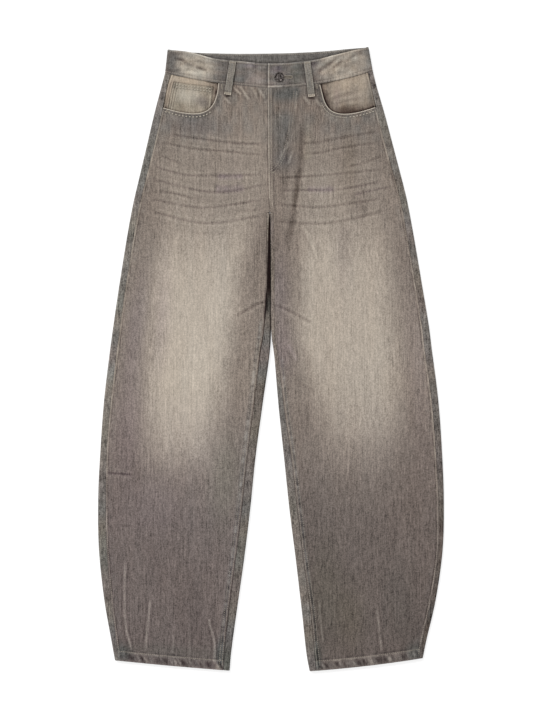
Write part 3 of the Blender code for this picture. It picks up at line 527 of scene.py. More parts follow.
FACING_PATCHES = table(Patch, (
    (-142, 86, 22, 14, 24, 0.2, 0.2, 6, 1.3),
    (-120, 96, 14, 10, -24, 0.4, 0.6, 20, 1.3),
    (-163, 104, 10, 7, -18, 0, -0.2, 0, 1.3),
    (-98, 104, 9, 9, -12, 0.2, 0, 0, 1.3),
    # Painted shadow beside the left mouth: on the facing right of the coin pocket, and in the notch
    # between pocket and bead
    (-100, 70, 7, 14, -22, 0, 0, 0, 1.5),
    (-96, 80, 2.6, 4.5, -60),
    (138, 63, 32, 11, 19, -0.1, 0, -14, 1.3),
    (142, 90, 24, 10, 4, 0.1, 0.2, -10, 1.3),
    # Painted shadow inside the right mouth, along its left side and its foot
    (98, 92, 7, 16, -22, 0.1, 0, -28, 1.3),
    (137, 111, 20, 9, -42, 0, -0.2, 5, 1.3),
    (115, 88, 6, 20, -9, 0.1, 0.7),
    (160, 84, 8, 24, 9, 0, 0, 8),
    (175, 80, 7, 26, -14, 0.5, 0, 0, 1.3),
    (-148, 59, 36, 9, 20, -0.2, 0, 12, 1.5),
    (179.4, 104.6, 1.8, 2.4, -55, 0, 0, 0, 1),
))
BACK_PATCHES = table(Patch, (
    (180.2, 68.4, 2.6, 3.4, -52, 0, 0, 0, 1),
    (181.6, 104.8, 2.6, 3, -45, 0, 0, 0, 1),
    (-79, 1072, 16, 36, -13, 0.4, -0.4, 0, 1.5),
))

# Marks along an edge: between which distances down the garment they run, how far from
# the edge and half how wide they are, how high, light and blue, how much they vary and
# over what length
Mark = namedtuple("Mark", "edge start end at half height light cool rough pitch")
MARK_END = 8
HEM_SLANT = 0.5
FRONT_MARKS = table(Mark, (
    ("side", 90, 1110, 1.2, 1.1, 0.35, 42, 0, 0.5, 14),
    ("side", 90, 1110, 3.6, 1.1, -0.4, -42, 0.2, 0.6, 8),
    ("right side", 200, 385, 1.4, 1.4, -0.3, -30, 0, 0.2, 11),
    ("side", 90, 1110, 8, 3.5, 0.25, 5, 0.2, 1, 7),
    ("side", 640, 1090, 15, 1.5, 0.1, 7, 0, 0.8, 20),
    ("left inseam", 430, 1110, 0.2, 1, -0.4, -52, 0, 0.2, 14),
    ("left inseam", 320, 480, 0.2, 1.4, -0.2, -48, 0, 0.1, 14),
    ("left inseam", 430, 474, 1.2, 2.4, -0.2, -40, 0, 0.1, 14),
    ("left inseam", 430, 560, 0.6, 1.8, -0.2, -40, 0, 0.1, 14),
    ("left inseam", 480, 1085, 3, 1.1, 0.2, 12, 0.3, 0.6, 5),
    ("left inseam", 480, 1085, 7, 2.6, 0.3, 36, 0.4, 1, 3.6),
    ("left inseam", 480, 1085, 7, 3.4, 0, -6, 0.5, 0.2, 30),
    ("left inseam", 480, 1085, 12, 1.3, 0.15, 10, 0, 0.6, 12),
    ("left inseam", 300, 560, 8, 12, 0, -4, 0, 0.2, 40),
    ("right inseam", 560, 1110, 0.2, 0.9, -0.4, -30, 0, 0.3, 9),
    ("right inseam", 560, 1110, 2.2, 1.1, 0.3, 30, 0, 0.4, 9),
    ("right inseam", 545, 1085, 5.6, 2.6, 0.3, 30, 0.4, 1, 3.6),
    ("right inseam", 545, 1085, 5.6, 3.4, 0, -6, 0.5, 0.2, 30),
    ("lap", 40, 270, 1.1, 1.2, 0.3, 56, 0, 0.15, 18),
    ("lap", 40, 280, 3, 0.8, -0.3, -20, 0.1, 0.3, 12),
    ("lap", 70, 280, 5, 1.3, 0.25, 24, 0, 0.3, 12),
    ("lap", 76, 280, 8.4, 1.5, -0.3, -24, 0.2, 0.4, 16),
    ("lap", 76, 280, 13.4, 3, 0.2, 12, 0, 0.5, 16),
    ("lap", 76, 200, 18.4, 1.6, -0.2, -14, 0, 0.4, 16),
    # Next row: painted shadow that the lapped right front casts on the left front
    ("tuck", 40, 292, 0.4, 1.4, -0.2, -34, 0, 0.3, 12),
    ("tuck", 40, 292, 8, 6, 0.3, 6, 0, 1, 9),
    ("waist", 0, 140, 0.2, 0.7, -0.4, -10, 0, 0.2, 20),
    ("waist", 0, 140, 2.2, 1, 0.2, 10, 0, 0.6, 6),
    ("waist", 0, 140, 9, 5, 0.4, 12, 0, 1, 7),
    ("hem", 990, 1110, 0.8, 1.4, 0.2, 24, 0, 0.4, 5),
    ("hem", 990, 1110, 7, 5.4, 0.7, 40, -0.3, 1, 6),
    ("hem", 990, 1110, 8, 5.4, 0.3, 32, -0.2, 1, 3.4),
    ("hem", 990, 1110, 7, 6.5, 0.5, 2, 0.45, 0.2, 30),
    ("hem", 990, 1110, 15.6, 1.4, 0, 44, 0, 0.4, 8),
    ("hem", 990, 1110, 18.8, 1.5, -0.4, -34, 0.3, 0.6, 8),
    # Next row: painted shadow beside the bead of the pocket mouth
    ("mouth", 40, 150, 2.6, 1.4, -0.2, -18, 0.3, 0.2, 12),
    ("left mouth", 40, 150, 5.4, 2.6, 0.1, -34, 0.6, 0.4, 3),
    ("right mouth", 40, 150, 5.4, 2.6, 0.1, -15, 0.4, 0.5, 3),
    ("mouth", 40, 150, 11, 4, 0.3, 9, 0.2, 1, 5),
    ("fly", 70, 235, 0, 1.4, -0.3, -16, 0.2, 0.5, 10),
    ("fly", 70, 235, 3, 1.2, 0.2, 12, 0, 0.6, 8),
    # Painted shadow beside the front loops
    ("loop", 0, 110, 1, 1.6, 0, -40, 0, 0.2, 12),
))
BAND_MARKS = table(Mark, (
    ("top", 0, 140, 0.8, 1.3, 0, 54, 0, 0.3, 12),
    ("top", 0, 140, 3.6, 1.2, -0.3, -10, 0.1, 0.5, 9),
    ("top", 0, 140, 8, 4, 0.3, 11, 0.1, 1, 7),
    ("seam", 0, 140, 0, 0.7, -0.4, -12, 0, 0.15, 20),
    ("seam", 0, 140, 2.4, 1.2, 0.2, 16, -0.1, 0.3, 12),
    ("seam", 0, 140, 4.6, 0.9, -0.3, -20, 0, 0.3, 10),
    ("seam", 0, 140, 9.5, 4.5, 0.35, 10, 0.1, 1, 7),
    ("lap", 0, 140, 1.1, 1.3, 0, 68, -0.2, 0.15, 10),
    ("lap", 0, 140, 3.4, 1, -0.2, -24, 0, 0.3, 8),
    # Painted shadow of the overlapping end on the underlap
    ("tuck", 0, 140, 0.8, 1.4, 0, -36, 0, 0.2, 8),
    # Painted shadow beside the front loops
    ("loop", 0, 110, 1, 1.6, 0, -38, 0, 0.2, 12),
    ("loop", 0, 110, 5, 3.5, 0, -12, 0.2, 0.5, 9),
    # Painted shadow that the front's upper edge casts inside the back
    ("inside", 0, 140, 0, 3.4, 0, -34, 0, 0.1, 20),
))
FACING_MARKS = table(Mark, (
    # Painted shadow just inside each mouth, cast by the front's cut edge
    ("left mouth", 40, 150, 1.4, 2.2, 0, -64, 0, 0.15, 20),
    ("right mouth", 40, 110, 1.8, 2.2, 0, -92, 0, 0.1, 20),
    ("right mouth", 110, 150, 1.6, 2, 0, -64, 0, 0.15, 20),
    ("mouth", 40, 150, 6, 6, 0, -10, 0.1, 0.5, 20),
    ("waist", 0, 140, 0.2, 0.7, -0.3, -12, 0, 0.2, 20),
    ("side", 0, 150, 0.4, 0.9, -0.2, -40, 0, 0.3, 9),
    ("side", 0, 150, 2.2, 1, 0.2, 26, 0, 0.3, 9),
    ("left side", 0, 150, 5.1, 0.9, -0.2, -40, 0.1, 0.3, 9),
    ("left side", 0, 150, 7, 0.9, 0.2, 18, 0, 0.3, 9),
    ("right side", 0, 150, 4.6, 1.4, -0.1, -12, 0.1, 0.3, 9),
    # More painted shadow inside the right mouth
    ("right mouth", 40, 150, 4, 6.5, 0, -26, 0, 0.2, 30),
))
COIN_MARKS = table(Mark, (
    # Next row: painted shadow along the top edge
    ("top", 0, 150, 0.4, 1, 0, -60, 0.1, 0.2, 9),
    ("top", 0, 150, 4.6, 1.9, -0.1, -30, 0.3, 0.3, 9),
    ("top", 0, 150, 9.4, 1.9, -0.1, -26, 0.3, 0.3, 9),
    # Next row: painted shadow along the right edge
    ("right", 0, 150, 0.6, 1, 0, -50, 0, 0.3, 9),
    ("right", 0, 150, 3, 1, 0.1, 24, 0, 0.5, 3),
    ("right", 0, 150, 5.2, 1, -0.2, -36, 0.2, 0.4, 3),
    ("right", 0, 150, 9.6, 1, -0.2, -26, 0.2, 0.5, 3),
    # Next row: painted shadow along the left edge
    ("left", 0, 150, 1, 0.9, -0.2, -58, 0.1, 0.2, 9),
    ("left", 0, 150, 2.8, 0.9, 0.2, 24, 0, 0.2, 9),
    ("left", 0, 150, 4.6, 0.9, -0.2, -54, 0.1, 0.2, 9),
    ("left", 0, 150, 6.6, 1, 0.2, 20, 0, 0.3, 9),
    ("left", 0, 150, 8.9, 0.9, -0.2, -44, 0.1, 0.3, 9),
    ("left", 0, 150, 11, 1, 0.2, 12, 0, 0.4, 9),
    # Painted shadow of the front's cut edge, beside the mouth
    ("mouth", 40, 150, 1.2, 2.2, 0, -56, 0, 0.15, 20),
))

# Grain of the denim: noise scales across, along and through it, detail and strength,
# and its slubs, which are rare thick yarns: the same scales and strength
GRAIN = (((560, 520, 100), 0.0, 18.5), ((430, 190, 100), 0.0, 9.0), ((430, 60, 60), 0.0, 11.0),
         ((150, 9, 30), 1.0, 2.8))
SLUBS = (((430, 40, 20), 200.0), ((560, 8, 20), 260.0))

# Stitching: length, pitch and radius of its stitches
Stitch = namedtuple("Stitch", "length pitch radius")
SEAM_STITCH = Stitch(2.8, 3.6, 0.42)
MOUTH_DOT = Stitch(3.7, 5.8, 1.1)
MOUTH_STITCH = Stitch(3.6, 3.4, 0.5)
COIN_STITCH = Stitch(3.8, 5.0, 0.95)
BAR_STITCH = Stitch(2.6, 2.0, 0.3)
BUTTONHOLE_STITCH = Stitch(2.2, 2.4, 0.28)
THREAD_PITCH = 0.62

# The rows round the pocket mouths: how far outside the edge and below the waist they
# run, and where the large stitches give way to small ones
MOUTH_ROW = 5.3
MOUTH_ROW_FROM = 96.0
MOUTH_DOTS = {"left": (-1000.0, -104.0), "right": (134.0, 1000.0)}

# The other rows: how far they run from their edges, between which courses, how far down
# and between which x, and the stitches round the buttonhole's eye and slit. Bar tacks:
# side, x, down and direction of those that are not on a loop.
SEAM_COURSES = (1.6, 15.74, 300)
SIDE_ROW = 2.2
INSEAM_ROWS = (2.6, 7.6)
INSEAM_FROM = {"left": 8.4, "right": 9.2}
HEM_ROW = 16.8
FLY_ROW = 4.6
CENTRE_SEAM_DOWN = (76, 286)
CENTRE_SEAM = ((72, -5.8), (98, -5.6), (141, -5.2), (197, -4.7), (252, -3.8), (291, -2.0))
BAND_ROW = 3.0
BAND_ROW_X = {"left": (-178.0, CENTRE_FRONT - 1), "right": (171.0, CENTRE_FRONT + 2)}
BAND_BACK_ROW_X = (-172, 164)
LAP_ROW, LAP_ROW_DOWN = 2.6, (33, 66)
EYE_TURNS = (0.35, 2 * math.pi - 0.3, 0.17)
EYE_REACH, SLIT_REACH, SLIT_END_REACH = (0.6, 2.6), (0.7, 2.7), (0.0, 2.5)
BAR_HALF = 0.9
BAR_TACKS = (
    ("left", -180.0, 113.5, (1, 0.35)), ("left", -86.0, 70.0, (0.05, 1)),
    ("right", 173.5, 113.0, (1, -0.35)), ("right", 80.5, 70.0, (0.1, 1)),
    ("right", 5.0, 219.5, (1, -0.4)),
)
BEAD_HALF = 0.95

# The studio: the floor's half width, height and glow, the lights and the camera
FLOOR_HALF, FLOOR_HEIGHT, FLOOR_GLOW = 6.0, -0.0002, 0.68
SKY_LIGHT, SUN_LIGHT = 0.6, 1.75
CAMERA_PLACE = (-0.00175, -0.00175, 3.507)


def smooth_value(x, xs, ys):
    """The smooth curve through (xs, ys), read at x."""
    x = np.asarray(x, dtype=float)
    xs = np.asarray(xs, dtype=float)
    ys = np.asarray(ys, dtype=float)
    slopes = np.gradient(ys, xs)
    i = np.clip(np.searchsorted(xs, x) - 1, 0, len(xs) - 2)
    step = xs[i + 1] - xs[i]
    t = np.clip((x - xs[i]) / step, 0, 1)
    start = ys[i] * (1 + 2 * t) * (1 - t) ** 2 + step * slopes[i] * t * (1 - t) ** 2
    end = ys[i + 1] * t * t * (3 - 2 * t) - step * slopes[i + 1] * t * t * (1 - t)
    return start + end


def ramp(value, start, end):
    """0 before start, 1 after end, and a soft step between."""
    t = np.clip((np.asarray(value, dtype=float) - start) / (end - start), 0, 1)
    return t * t * (3 - 2 * t)


def between(value, start, full, fading, end):
    """1 from full to fading, 0 before start and after end, and soft steps between."""
    return ramp(value, start, full) * (1 - ramp(value, fading, end))


def mix(a, b, t):
    return a + (b - a) * t


def bezier(handles, steps):
    """Points of a curve of any degree with the given handles."""
    t = np.linspace(0, 1, steps + 1)[:, None]
    handles = np.array(handles, dtype=float)
    degree = len(handles) - 1
    points = np.zeros((steps + 1, handles.shape[1]))
    for i, handle in enumerate(handles):
        points += math.comb(degree, i) * t ** i * (1 - t) ** (degree - i) * handle
    return points


def line_through(points, steps=12):
    """A smooth line through some points."""
    at = np.linspace(0, len(points) - 1, steps + 1)
    return np.stack([smooth_value(at, range(len(points)), column) for column in zip(*points)], axis=1)


Near = namedtuple("Near", "gap along side x down")


def nearest_on_line(points, x, down):
    """For each place: distance to a line of points, how far along, the side, and where."""
    gap = np.full(x.shape, 1e9)
    along = np.zeros(x.shape)
    side = np.ones(x.shape)
    near_x = np.zeros(x.shape)
    near_down = np.zeros(x.shape)
    spans = len(points) - 1
    for i in range(spans):
        (ax, ay), (bx, by) = points[i], points[i + 1]
        dx, dy = bx - ax, by - ay
        t = np.clip(((x - ax) * dx + (down - ay) * dy) / (dx * dx + dy * dy), 0, 1)
        px, py = ax + dx * t, ay + dy * t
        here = np.hypot(x - px, down - py)
        closer = here < gap
        gap = np.where(closer, here, gap)
        along = np.where(closer, (i + t) / spans, along)
        side = np.where(closer, np.sign(dx * (down - py) - dy * (x - px)), side)
        near_x = np.where(closer, px, near_x)
        near_down = np.where(closer, py, near_down)
    return Near(gap, along, side, near_x, near_down)


def noise_line(s, pitch, seed):
    """Smooth uneven waves along s, about one a pitch, from -1 to 1."""
    knots = np.random.default_rng(seed).uniform(-1, 1, 512)
    place_on = np.asarray(s, dtype=float) / pitch + 200
    i = np.floor(place_on).astype(int)
    t = ramp(place_on - i, 0, 1)
    return mix(knots[i % 512], knots[(i + 1) % 512], t)


def noise_field(x, y, pitch, seed):
    """Smooth uneven hills over x and y, about one a pitch, from -1 to 1."""
    knots = np.random.default_rng(seed).uniform(-1, 1, (64, 64))
    u, v = x / pitch + 640, y / pitch + 640
    i, j = np.floor(u).astype(int), np.floor(v).astype(int)
    s, t = ramp(u - i, 0, 1), ramp(v - j, 0, 1)
    near = mix(knots[i % 64, j % 64], knots[(i + 1) % 64, j % 64], s)
    far = mix(knots[i % 64, (j + 1) % 64], knots[(i + 1) % 64, (j + 1) % 64], s)
    return mix(near, far, t)


def bumps(value, rows):
    """The sum of soft bumps, each given by its strength, middle and half width."""
    return sum(strength * np.exp(-((value - middle) / half) ** 2)
               for strength, middle, half in rows)


def mottle(x, down, sizes, seed):
    """Uneven hills of some strength, drawn out down the garment, and pitch."""
    strength, stretch, pitch = sizes
    return strength * noise_field(x, down * stretch, pitch, seed)


class Leg:
    """One side of the garment, read at any course number."""

    def __init__(self, side, courses):
        self.side = side
        self.inward = 1 if side == "left" else -1
        self.rows = np.array(courses, dtype=float)

    def course(self, number):
        """The course, or courses, at a number on the smooth curves through the table."""
        numbers = range(len(self.rows))
        return Course(*(smooth_value(number, numbers, column) for column in self.rows.T))

    def courses(self, numbers):
        """The courses at some numbers, as columns for the rows of a grid of points."""
        return Course(*(column[:, None] for column in self.course(numbers)))

    def down_front(self, course, x):
        """How far down the course is at x, on the front."""
        t = (x - course.outline) / (course.inner - course.outline)
        return mix(course.down, course.front_in, t) + 4 * course.sag * t * (1 - t)

    def down_back(self, course, number, x):
        """How far down the course is at x, on the back."""
        t = (x - course.outline) / (course.inner - course.outline)
        sag = np.where(number >= CROTCH, course.sag, 0.0)
        return mix(course.down, course.back_in, t) + 4 * sag * t * (1 - t)

    def front_edges(self, number):
        """x of the front panel's side edge and inner edge on a course."""
        course = self.course(number)
        side_edge = course.outline + self.inward * (course.strip + SEAM_GAP)
        inset = np.where(np.asarray(number) < CROTCH, CENTRE_GAP / 2, course.inseam + SEAM_GAP)
        return side_edge, course.inner - self.inward * inset

    def numbers_between(self, first, last, pitch=None):
        """Course numbers from first to last, spaced by ROW_PITCH down the side seam."""
        fine = np.linspace(first, last, FINE_STEPS)
        down = self.course(fine).down
        step = np.interp(down, *zip(*ROW_PITCH)) if pitch is None else np.full(down.shape, pitch)
        count = np.concatenate(([0], np.cumsum(np.diff(down) / step[1:])))
        rows = max(2, int(round(count[-1])))
        numbers = np.interp(np.linspace(0, count[-1], rows + 1), count, fine)
        if first < CROTCH < last:
            numbers[np.argmin(abs(numbers - CROTCH))] = CROTCH
        return numbers


LEFT = Leg("left", LEFT_COURSES)
RIGHT = Leg("right", RIGHT_COURSES)
LEGS = {"left": LEFT, "right": RIGHT}
MOUTH_LINES = {side: bezier(handles, 60) for side, handles in POCKET_MOUTH.items()}
FLY_LINE = bezier(FLY_STITCHING, 40)


def plain_top(down):
    """Top of the front before its creases and fly."""
    return smooth_value(down, HEIGHT_DOWN, HEIGHT_TOP)


def fly_step(side, x, down):
    """Rise of the right front over the fly's shield, or dip of the left front beside it."""
    above = 1 - ramp(down, *FLY_DOWN)
    if side == "left":
        return -FLY_DIP * above * ramp(x, *FLY_DIP_X)
    return FLY_RISE * above * (1 - ramp(x, *FLY_RISE_X))


def loop_gap(side, x, down):
    """Distance of each place from the rim of a front loop."""
    (top_x, top_down), (foot_x, foot_down) = FRONT_LOOPS[side]
    length = math.hypot(foot_x - top_x, foot_down - top_down)
    right, ahead = (foot_x - top_x) / length, (foot_down - top_down) / length
    along = (x - top_x) * right + (down - top_down) * ahead
    across = np.abs((down - top_down) * right - (x - top_x) * ahead) - LOOP_WIDTH / 2
    return np.hypot(np.maximum(across, 0), np.maximum(np.maximum(-along, along - length), 0))


def front_edges_of(leg, x, down):
    """Distance from each edge of a front, and a length along it."""
    fine = np.linspace(WAIST_SEAM, HEM, 400)
    course = leg.course(fine)
    side_edge, inner_edge = leg.front_edges(fine)
    side_x = np.interp(down, leg.down_front(course, side_edge), side_edge)
    inner_x = np.interp(down, leg.down_front(course, inner_edge), inner_edge)
    from_hem = leg.down_front(leg.course(HEM), x) - down
    inner_gap = leg.inward * (inner_x - x)
    mouth = nearest_on_line(MOUTH_LINES[leg.side], x, down)
    edges = {
        "side": (leg.inward * (x - side_x), down),
        "inseam": (inner_gap, down),
        "tuck" if leg.side == "left" else "lap": (inner_gap, down),
        "hem": (from_hem, x + HEM_SLANT * from_hem),
        "waist": (down - leg.down_front(leg.course(WAIST_SEAM), x), x),
        "mouth": (mouth.gap, mouth.along * MOUTH_LENGTH),
        "loop": (loop_gap(leg.side, x, down), down),
    }
    if leg.side == "right":
        stitching = nearest_on_line(FLY_LINE, x, down)
        edges["fly"] = (stitching.gap, stitching.along * FLY_LENGTH)
    for name in ("side", "inseam", "mouth"):
        edges[leg.side + " " + name] = edges[name]
    return edges


class Wash:
    """Height, lightness, blueness and purple of a piece at its points, built up in steps."""

    def __init__(self, x, down, light, cool=0.0, purple=0.0):
        self.x, self.down = x, down
        self.height = np.zeros(x.shape)
        self.light = np.zeros(x.shape) + light
        self.cool = np.zeros(x.shape) + cool
        self.purple = np.zeros(x.shape) + purple

    def patches(self, patches):
        """Soft turned patches, one after another."""
        for patch in patches:
            turn = math.radians(patch.tilt)
            dx, dy = self.x - patch.x, self.down - patch.down
            across = (dx * math.cos(turn) + dy * math.sin(turn)) / patch.half_width
            along = (dy * math.cos(turn) - dx * math.sin(turn)) / patch.half_height
            strength = np.exp(-(across ** 2 + along ** 2) ** patch.square)
            self.light += patch.light * strength
            self.cool += patch.cool * strength
            self.purple += patch.purple * strength

    def creases(self, creases):
        """Troughs and ridges, each with a low swell of the other kind beside it, their lightness partly
        painted shade and light.
        """
        for number, crease in enumerate(creases):
            near = nearest_on_line(line_through(crease.points), self.x, self.down)
            gap = near.gap / crease.half_width
            ends = ramp(near.along, 0, CREASE_END) * ramp(1 - near.along, 0, CREASE_END)
            waves = noise_line(near.along * CREASE_RUN, CREASE_WAVE, 100 + number)
            ends *= CREASE_STRENGTH + CREASE_SWING * waves
            line = ends * np.exp(-gap ** 2)
            swell = ends * np.exp(-((gap - SWELL_AT) / SWELL_HALF) ** 2)
            self.height += crease.height * (line - SWELL_HEIGHT * swell)
            self.light += crease.light * (LINE_LIGHT * line - SWELL_LIGHT * swell)
            self.purple += crease.purple * line

    def marks(self, marks, edges, seed):
        """Lines along the edges that this piece has, as uneven as each row says."""
        for number, mark in enumerate(marks):
            if mark.edge not in edges:
                continue
            distance, along = edges[mark.edge]
            band = np.exp(-((distance - mark.at) / mark.half) ** 2)
            band *= ramp(self.down, mark.start - MARK_END, mark.start + MARK_END)
            band *= 1 - ramp(self.down, mark.end - MARK_END, mark.end + MARK_END)
            band *= 1 - mark.rough + mark.rough * noise_line(along, mark.pitch, seed + number)
            self.height += mark.height * band
            self.light += mark.light * band
            self.cool += mark.cool * np.abs(band)

    def clouds(self, kind, seed=0):
        """Uneven cloudiness in lightness, and less in hue."""
        for strength, width, length, number in CLOUDS[kind]:
            down = self.down * width / length
            self.light += strength * noise_field(self.x, down, width, seed + number)
            tint = noise_field(self.x, down, width * TINT_WIDTH, seed + number + 1)
            self.cool += CLOUD_TINT * strength * tint

    def colour(self):
        """Linear colours of washed denim."""
        light = np.clip(self.light, *LIGHT_RANGE)
        warm = 1 - COOLING * np.clip(self.cool, *COOL_RANGE)
        yellow = WARM_BLUE + WARM_BLUE_BY_LIGHT * (light - MIDDLE_LIGHT)
        red = light + WARM_RED * warm + PURPLE_RED * self.purple
        green = light - PURPLE_GREEN * self.purple
        blue = light - yellow * (BLUE_KEPT + (1 - BLUE_KEPT) * warm) + PURPLE_BLUE * self.purple
        srgb = np.clip(np.stack((red, green, blue), axis=-1) / 255, 0, 1)
        linear = np.where(srgb < 0.04045, srgb / 12.92, ((srgb + 0.055) / 1.055) ** 2.4)
        return np.concatenate((linear, np.ones(linear.shape[:-1] + (1,))), axis=-1)


def faded(leg, x, down):
    """Lightness of a front from its fade."""
    columns = list(zip(*FADES[leg.side]))
    fade = Fade(*(np.interp(down, columns[0], column) for column in columns))

    def step(middle, soft):
        return ramp(leg.inward * x, leg.inward * middle - soft, leg.inward * middle + soft)

    light = mix(fade.outer, fade.peak, step(fade.outer_mid, fade.outer_soft))
    return mix(light, fade.inner, step(fade.inner_mid, fade.inner_soft))


def wash_front(leg, x, down):
    """Relief and colour of a front."""
    seed = 200 if leg.side == "left" else 300
    wash = Wash(x, down, faded(leg, x, down), 0.0, np.interp(down, PURPLE_DOWN, PURPLE[leg.side]))
    wash.creases(CREASES)
    wash.patches(FRONT_PATCHES)
    wash.marks(FRONT_MARKS, front_edges_of(leg, x, down), seed)
    wash.clouds("front", seed)
    upper = 1 - ramp(down, *UPPER_END)
    wash.cool += upper * (UPPER_COOL + mottle(x, down, COOL_MOTTLE, seed + 54))
    wash.light += upper * mottle(x, down, LIGHT_MOTTLE, seed + 55)
    wash.height += mottle(x, down, FRONT_SWELL, seed + 56)
    wash.height += fly_step(leg.side, x, down)
    return wash


def front_top(leg, x, down):
    """Top of the front at each place."""
    x, down = np.asarray(x, dtype=float), np.asarray(down, dtype=float)
    return plain_top(down) + wash_front(leg, x, down).height


def shade_crevice(wash, inner, from_inner):
    """Painted shadow under the crotch and between the legs below it, which narrows and fades downwards.
    """
    down = wash.down
    half = np.interp(down, *zip(*CREVICE))
    wash.light -= inner * CROTCH_SHADE * between(down, *CROTCH_DOWN)
    beside_seam = ramp(from_inner, *SEAM_SHADE_FROM) * between(down, *SEAM_DOWN)
    wash.light -= inner * SEAM_SHADE * beside_seam
    dark = np.interp(down, *zip(*CREVICE_LIGHT))
    within = 1 - ramp(from_inner, half - CREVICE_SOFT, half + CREVICE_SOFT)
    wash.light = mix(wash.light, dark, inner * (half > 0) * within)


def wash_back(leg, x, down, fold, from_inner):
    """A back: bluer and darker than the front, with roped spots at its outer fold."""
    seed = 400 if leg.side == "left" else 500
    inner = from_inner < INNER_STRIP
    light = np.where(inner, np.interp(down, BACK_DOWN, BACK_LIGHT[leg.side + " inner"]),
                     np.interp(down, BACK_DOWN, BACK_LIGHT[leg.side]))
    cool = np.where(inner, BACK_COOL["inner"], BACK_COOL[leg.side])
    strength, pitch = BACK_COOL_WAVE
    cool = cool + strength * noise_line(down, pitch, seed + 1)
    strength, pitch = BACK_PURPLE_WAVE
    purple = BACK_PURPLE + strength * noise_line(down, pitch, seed + 3)
    wash = Wash(x, down, light, cool, purple)
    spots = noise_line(down, BACK_SPOT_PITCH, seed)
    wash.light += np.where(inner, BACK_SPOT_LIGHT["inner"] * spots,
                           BACK_SPOT_LIGHT["outer"] * np.clip(spots, -0.4, 1))
    beside_facing = between(down, *BESIDE_FACING) * (~inner) * (fold < SIDE_FOLD)
    wash.light += beside_facing * bumps(fold, [BESIDE_FACING_LIGHT])
    wash.patches(BACK_PATCHES)
    relief = np.where(inner, BACK_SPOT_HEIGHT["inner"], BACK_SPOT_HEIGHT["outer"])
    wash.height += relief * spots * fold
    # Painted shade along the inner fold, which fades out lower down
    above = inner * (1 - ramp(down, *INNER_SHADE_END))
    wash.light -= above * bumps(from_inner, [INNER_SHADE])
    wash.clouds("back", seed)
    like_front = inner * (1 - ramp(down, *FRONT_LIKE[leg.side]))
    wash.light = mix(wash.light, faded(leg, x, down), like_front)
    wash.cool = mix(wash.cool, FRONT_LIKE_COOL, like_front)
    # Painted shadow between the legs and under the crotch, on the left leg
    if leg.side == "left":
        shade_crevice(wash, inner, from_inner)
    return wash


def wash_band(x, down, from_top, from_seam, inside):
    """The waistband: outside on the front, and inside on the back."""
    wash = Wash(x, down, *SHADES["waistband"])
    wash.patches(BAND_PATCHES)
    wash.creases(BAND_CREASES)
    wash.clouds("waistband")
    # Distance below the front's upper edge, where the painted shadow of that edge falls inside the back
    front_gap = edge_down(BAND_FRONT_EDGE, x) - down
    mottled = INSIDE_LIGHT + mottle(x, down, INSIDE_MOTTLE, 604)
    wash.light = np.where(inside, mottled, wash.light)
    wash.cool = np.where(inside, INSIDE_COOL, wash.cool)
    wash.purple = np.where(inside, 0.0, wash.purple)
    far = np.full(x.shape, FAR)
    over = (x > CENTRE_FRONT) & ~inside
    edges = {
        "top": (from_top, x), "seam": (from_seam, x),
        "lap": (np.where(over, x - CENTRE_FRONT, far), down),
        "tuck": (np.where(over | inside, far, CENTRE_FRONT - x), down),
        "inside": (np.where(inside, np.maximum(front_gap, 0), far), x),
    }
    wash.marks(BAND_MARKS, edges, 620)
    # Painted shadow beside each front loop
    for side in FRONT_LOOPS:
        gap = np.where(inside, far, loop_gap(side, x, down))
        wash.marks(BAND_MARKS, {"loop": (gap, down)}, 640)
    return wash


def wash_facing(leg, x, down):
    """A pocket facing, with painted shadow towards the cut edge and darker lines along its seams."""
    wash = Wash(x, down, FACING_LIGHT[leg.side], -0.3, -0.4)
    wash.patches(FACING_PATCHES)
    wash.creases(FACING_CREASES)
    wash.clouds("facing")
    wash.marks(FACING_MARKS, front_edges_of(leg, x, down), 720)
    return wash


def place(x, down, z):
    """Vertices, in metres, from x, the distance down and the height in millimetres."""
    points = np.stack(np.broadcast_arrays(x, HALF_LENGTH - np.asarray(down), z), axis=-1)
    return points.reshape(-1, 3) * MM


def grid_faces(rows, columns, keep=None):
    """Quads of a grid of points, or only those that keep marks."""
    index = np.arange(rows * columns).reshape(rows, columns)
    corners = (index[:-1, :-1], index[:-1, 1:], index[1:, 1:], index[1:, :-1])
    faces = np.stack(corners, axis=-1)
    return faces.reshape(-1, 4) if keep is None else faces[keep]


def faces_clear_of(marked):
    """The faces of a grid that touch none of its marked points."""
    return ~(marked[:-1, :-1] | marked[1:, :-1] | marked[:-1, 1:] | marked[1:, 1:])


def tube_faces(rings, sides):
    """Quads of a tube through rings of points."""
    index = np.arange(rings * sides).reshape(rings, sides)
    after = np.roll(index, -1, axis=1)
    corners = (index[:-1], after[:-1], after[1:], index[1:])
    return np.stack(corners, axis=-1).reshape(-1, 4).tolist()


def link(name, data, material=None):
    """An object in the scene for some data, of one material."""
    item = bpy.data.objects.new(name, data)
    bpy.context.scene.collection.objects.link(item)
    if material:
        data.materials.append(material)
    return item


def smooth_item(name, points, faces, material):
    """An object from vertices and faces, smoothly shaded."""
    mesh = bpy.data.meshes.new(name)
    mesh.from_pydata(points.tolist(), [], faces)
    mesh.shade_smooth()
    return link(name, mesh, material)


def thicken(item, wall):
    """Makes an open sheet a wall about its middle, smooth but for its cut edges."""
    solid = item.modifiers.new("wall", "SOLIDIFY")
    solid.thickness = wall * MM
    solid.offset = 0
    solid.use_even_offset = True
    evaluated = item.evaluated_get(bpy.context.evaluated_depsgraph_get())
    mesh = bpy.data.meshes.new_from_object(evaluated)
    item.modifiers.remove(solid)
    flat = item.data
    item.data = mesh
    mesh.name = item.name
    bpy.data.meshes.remove(flat)
    mesh.shade_smooth()
    mesh.set_sharp_from_angle(angle=math.radians(50))


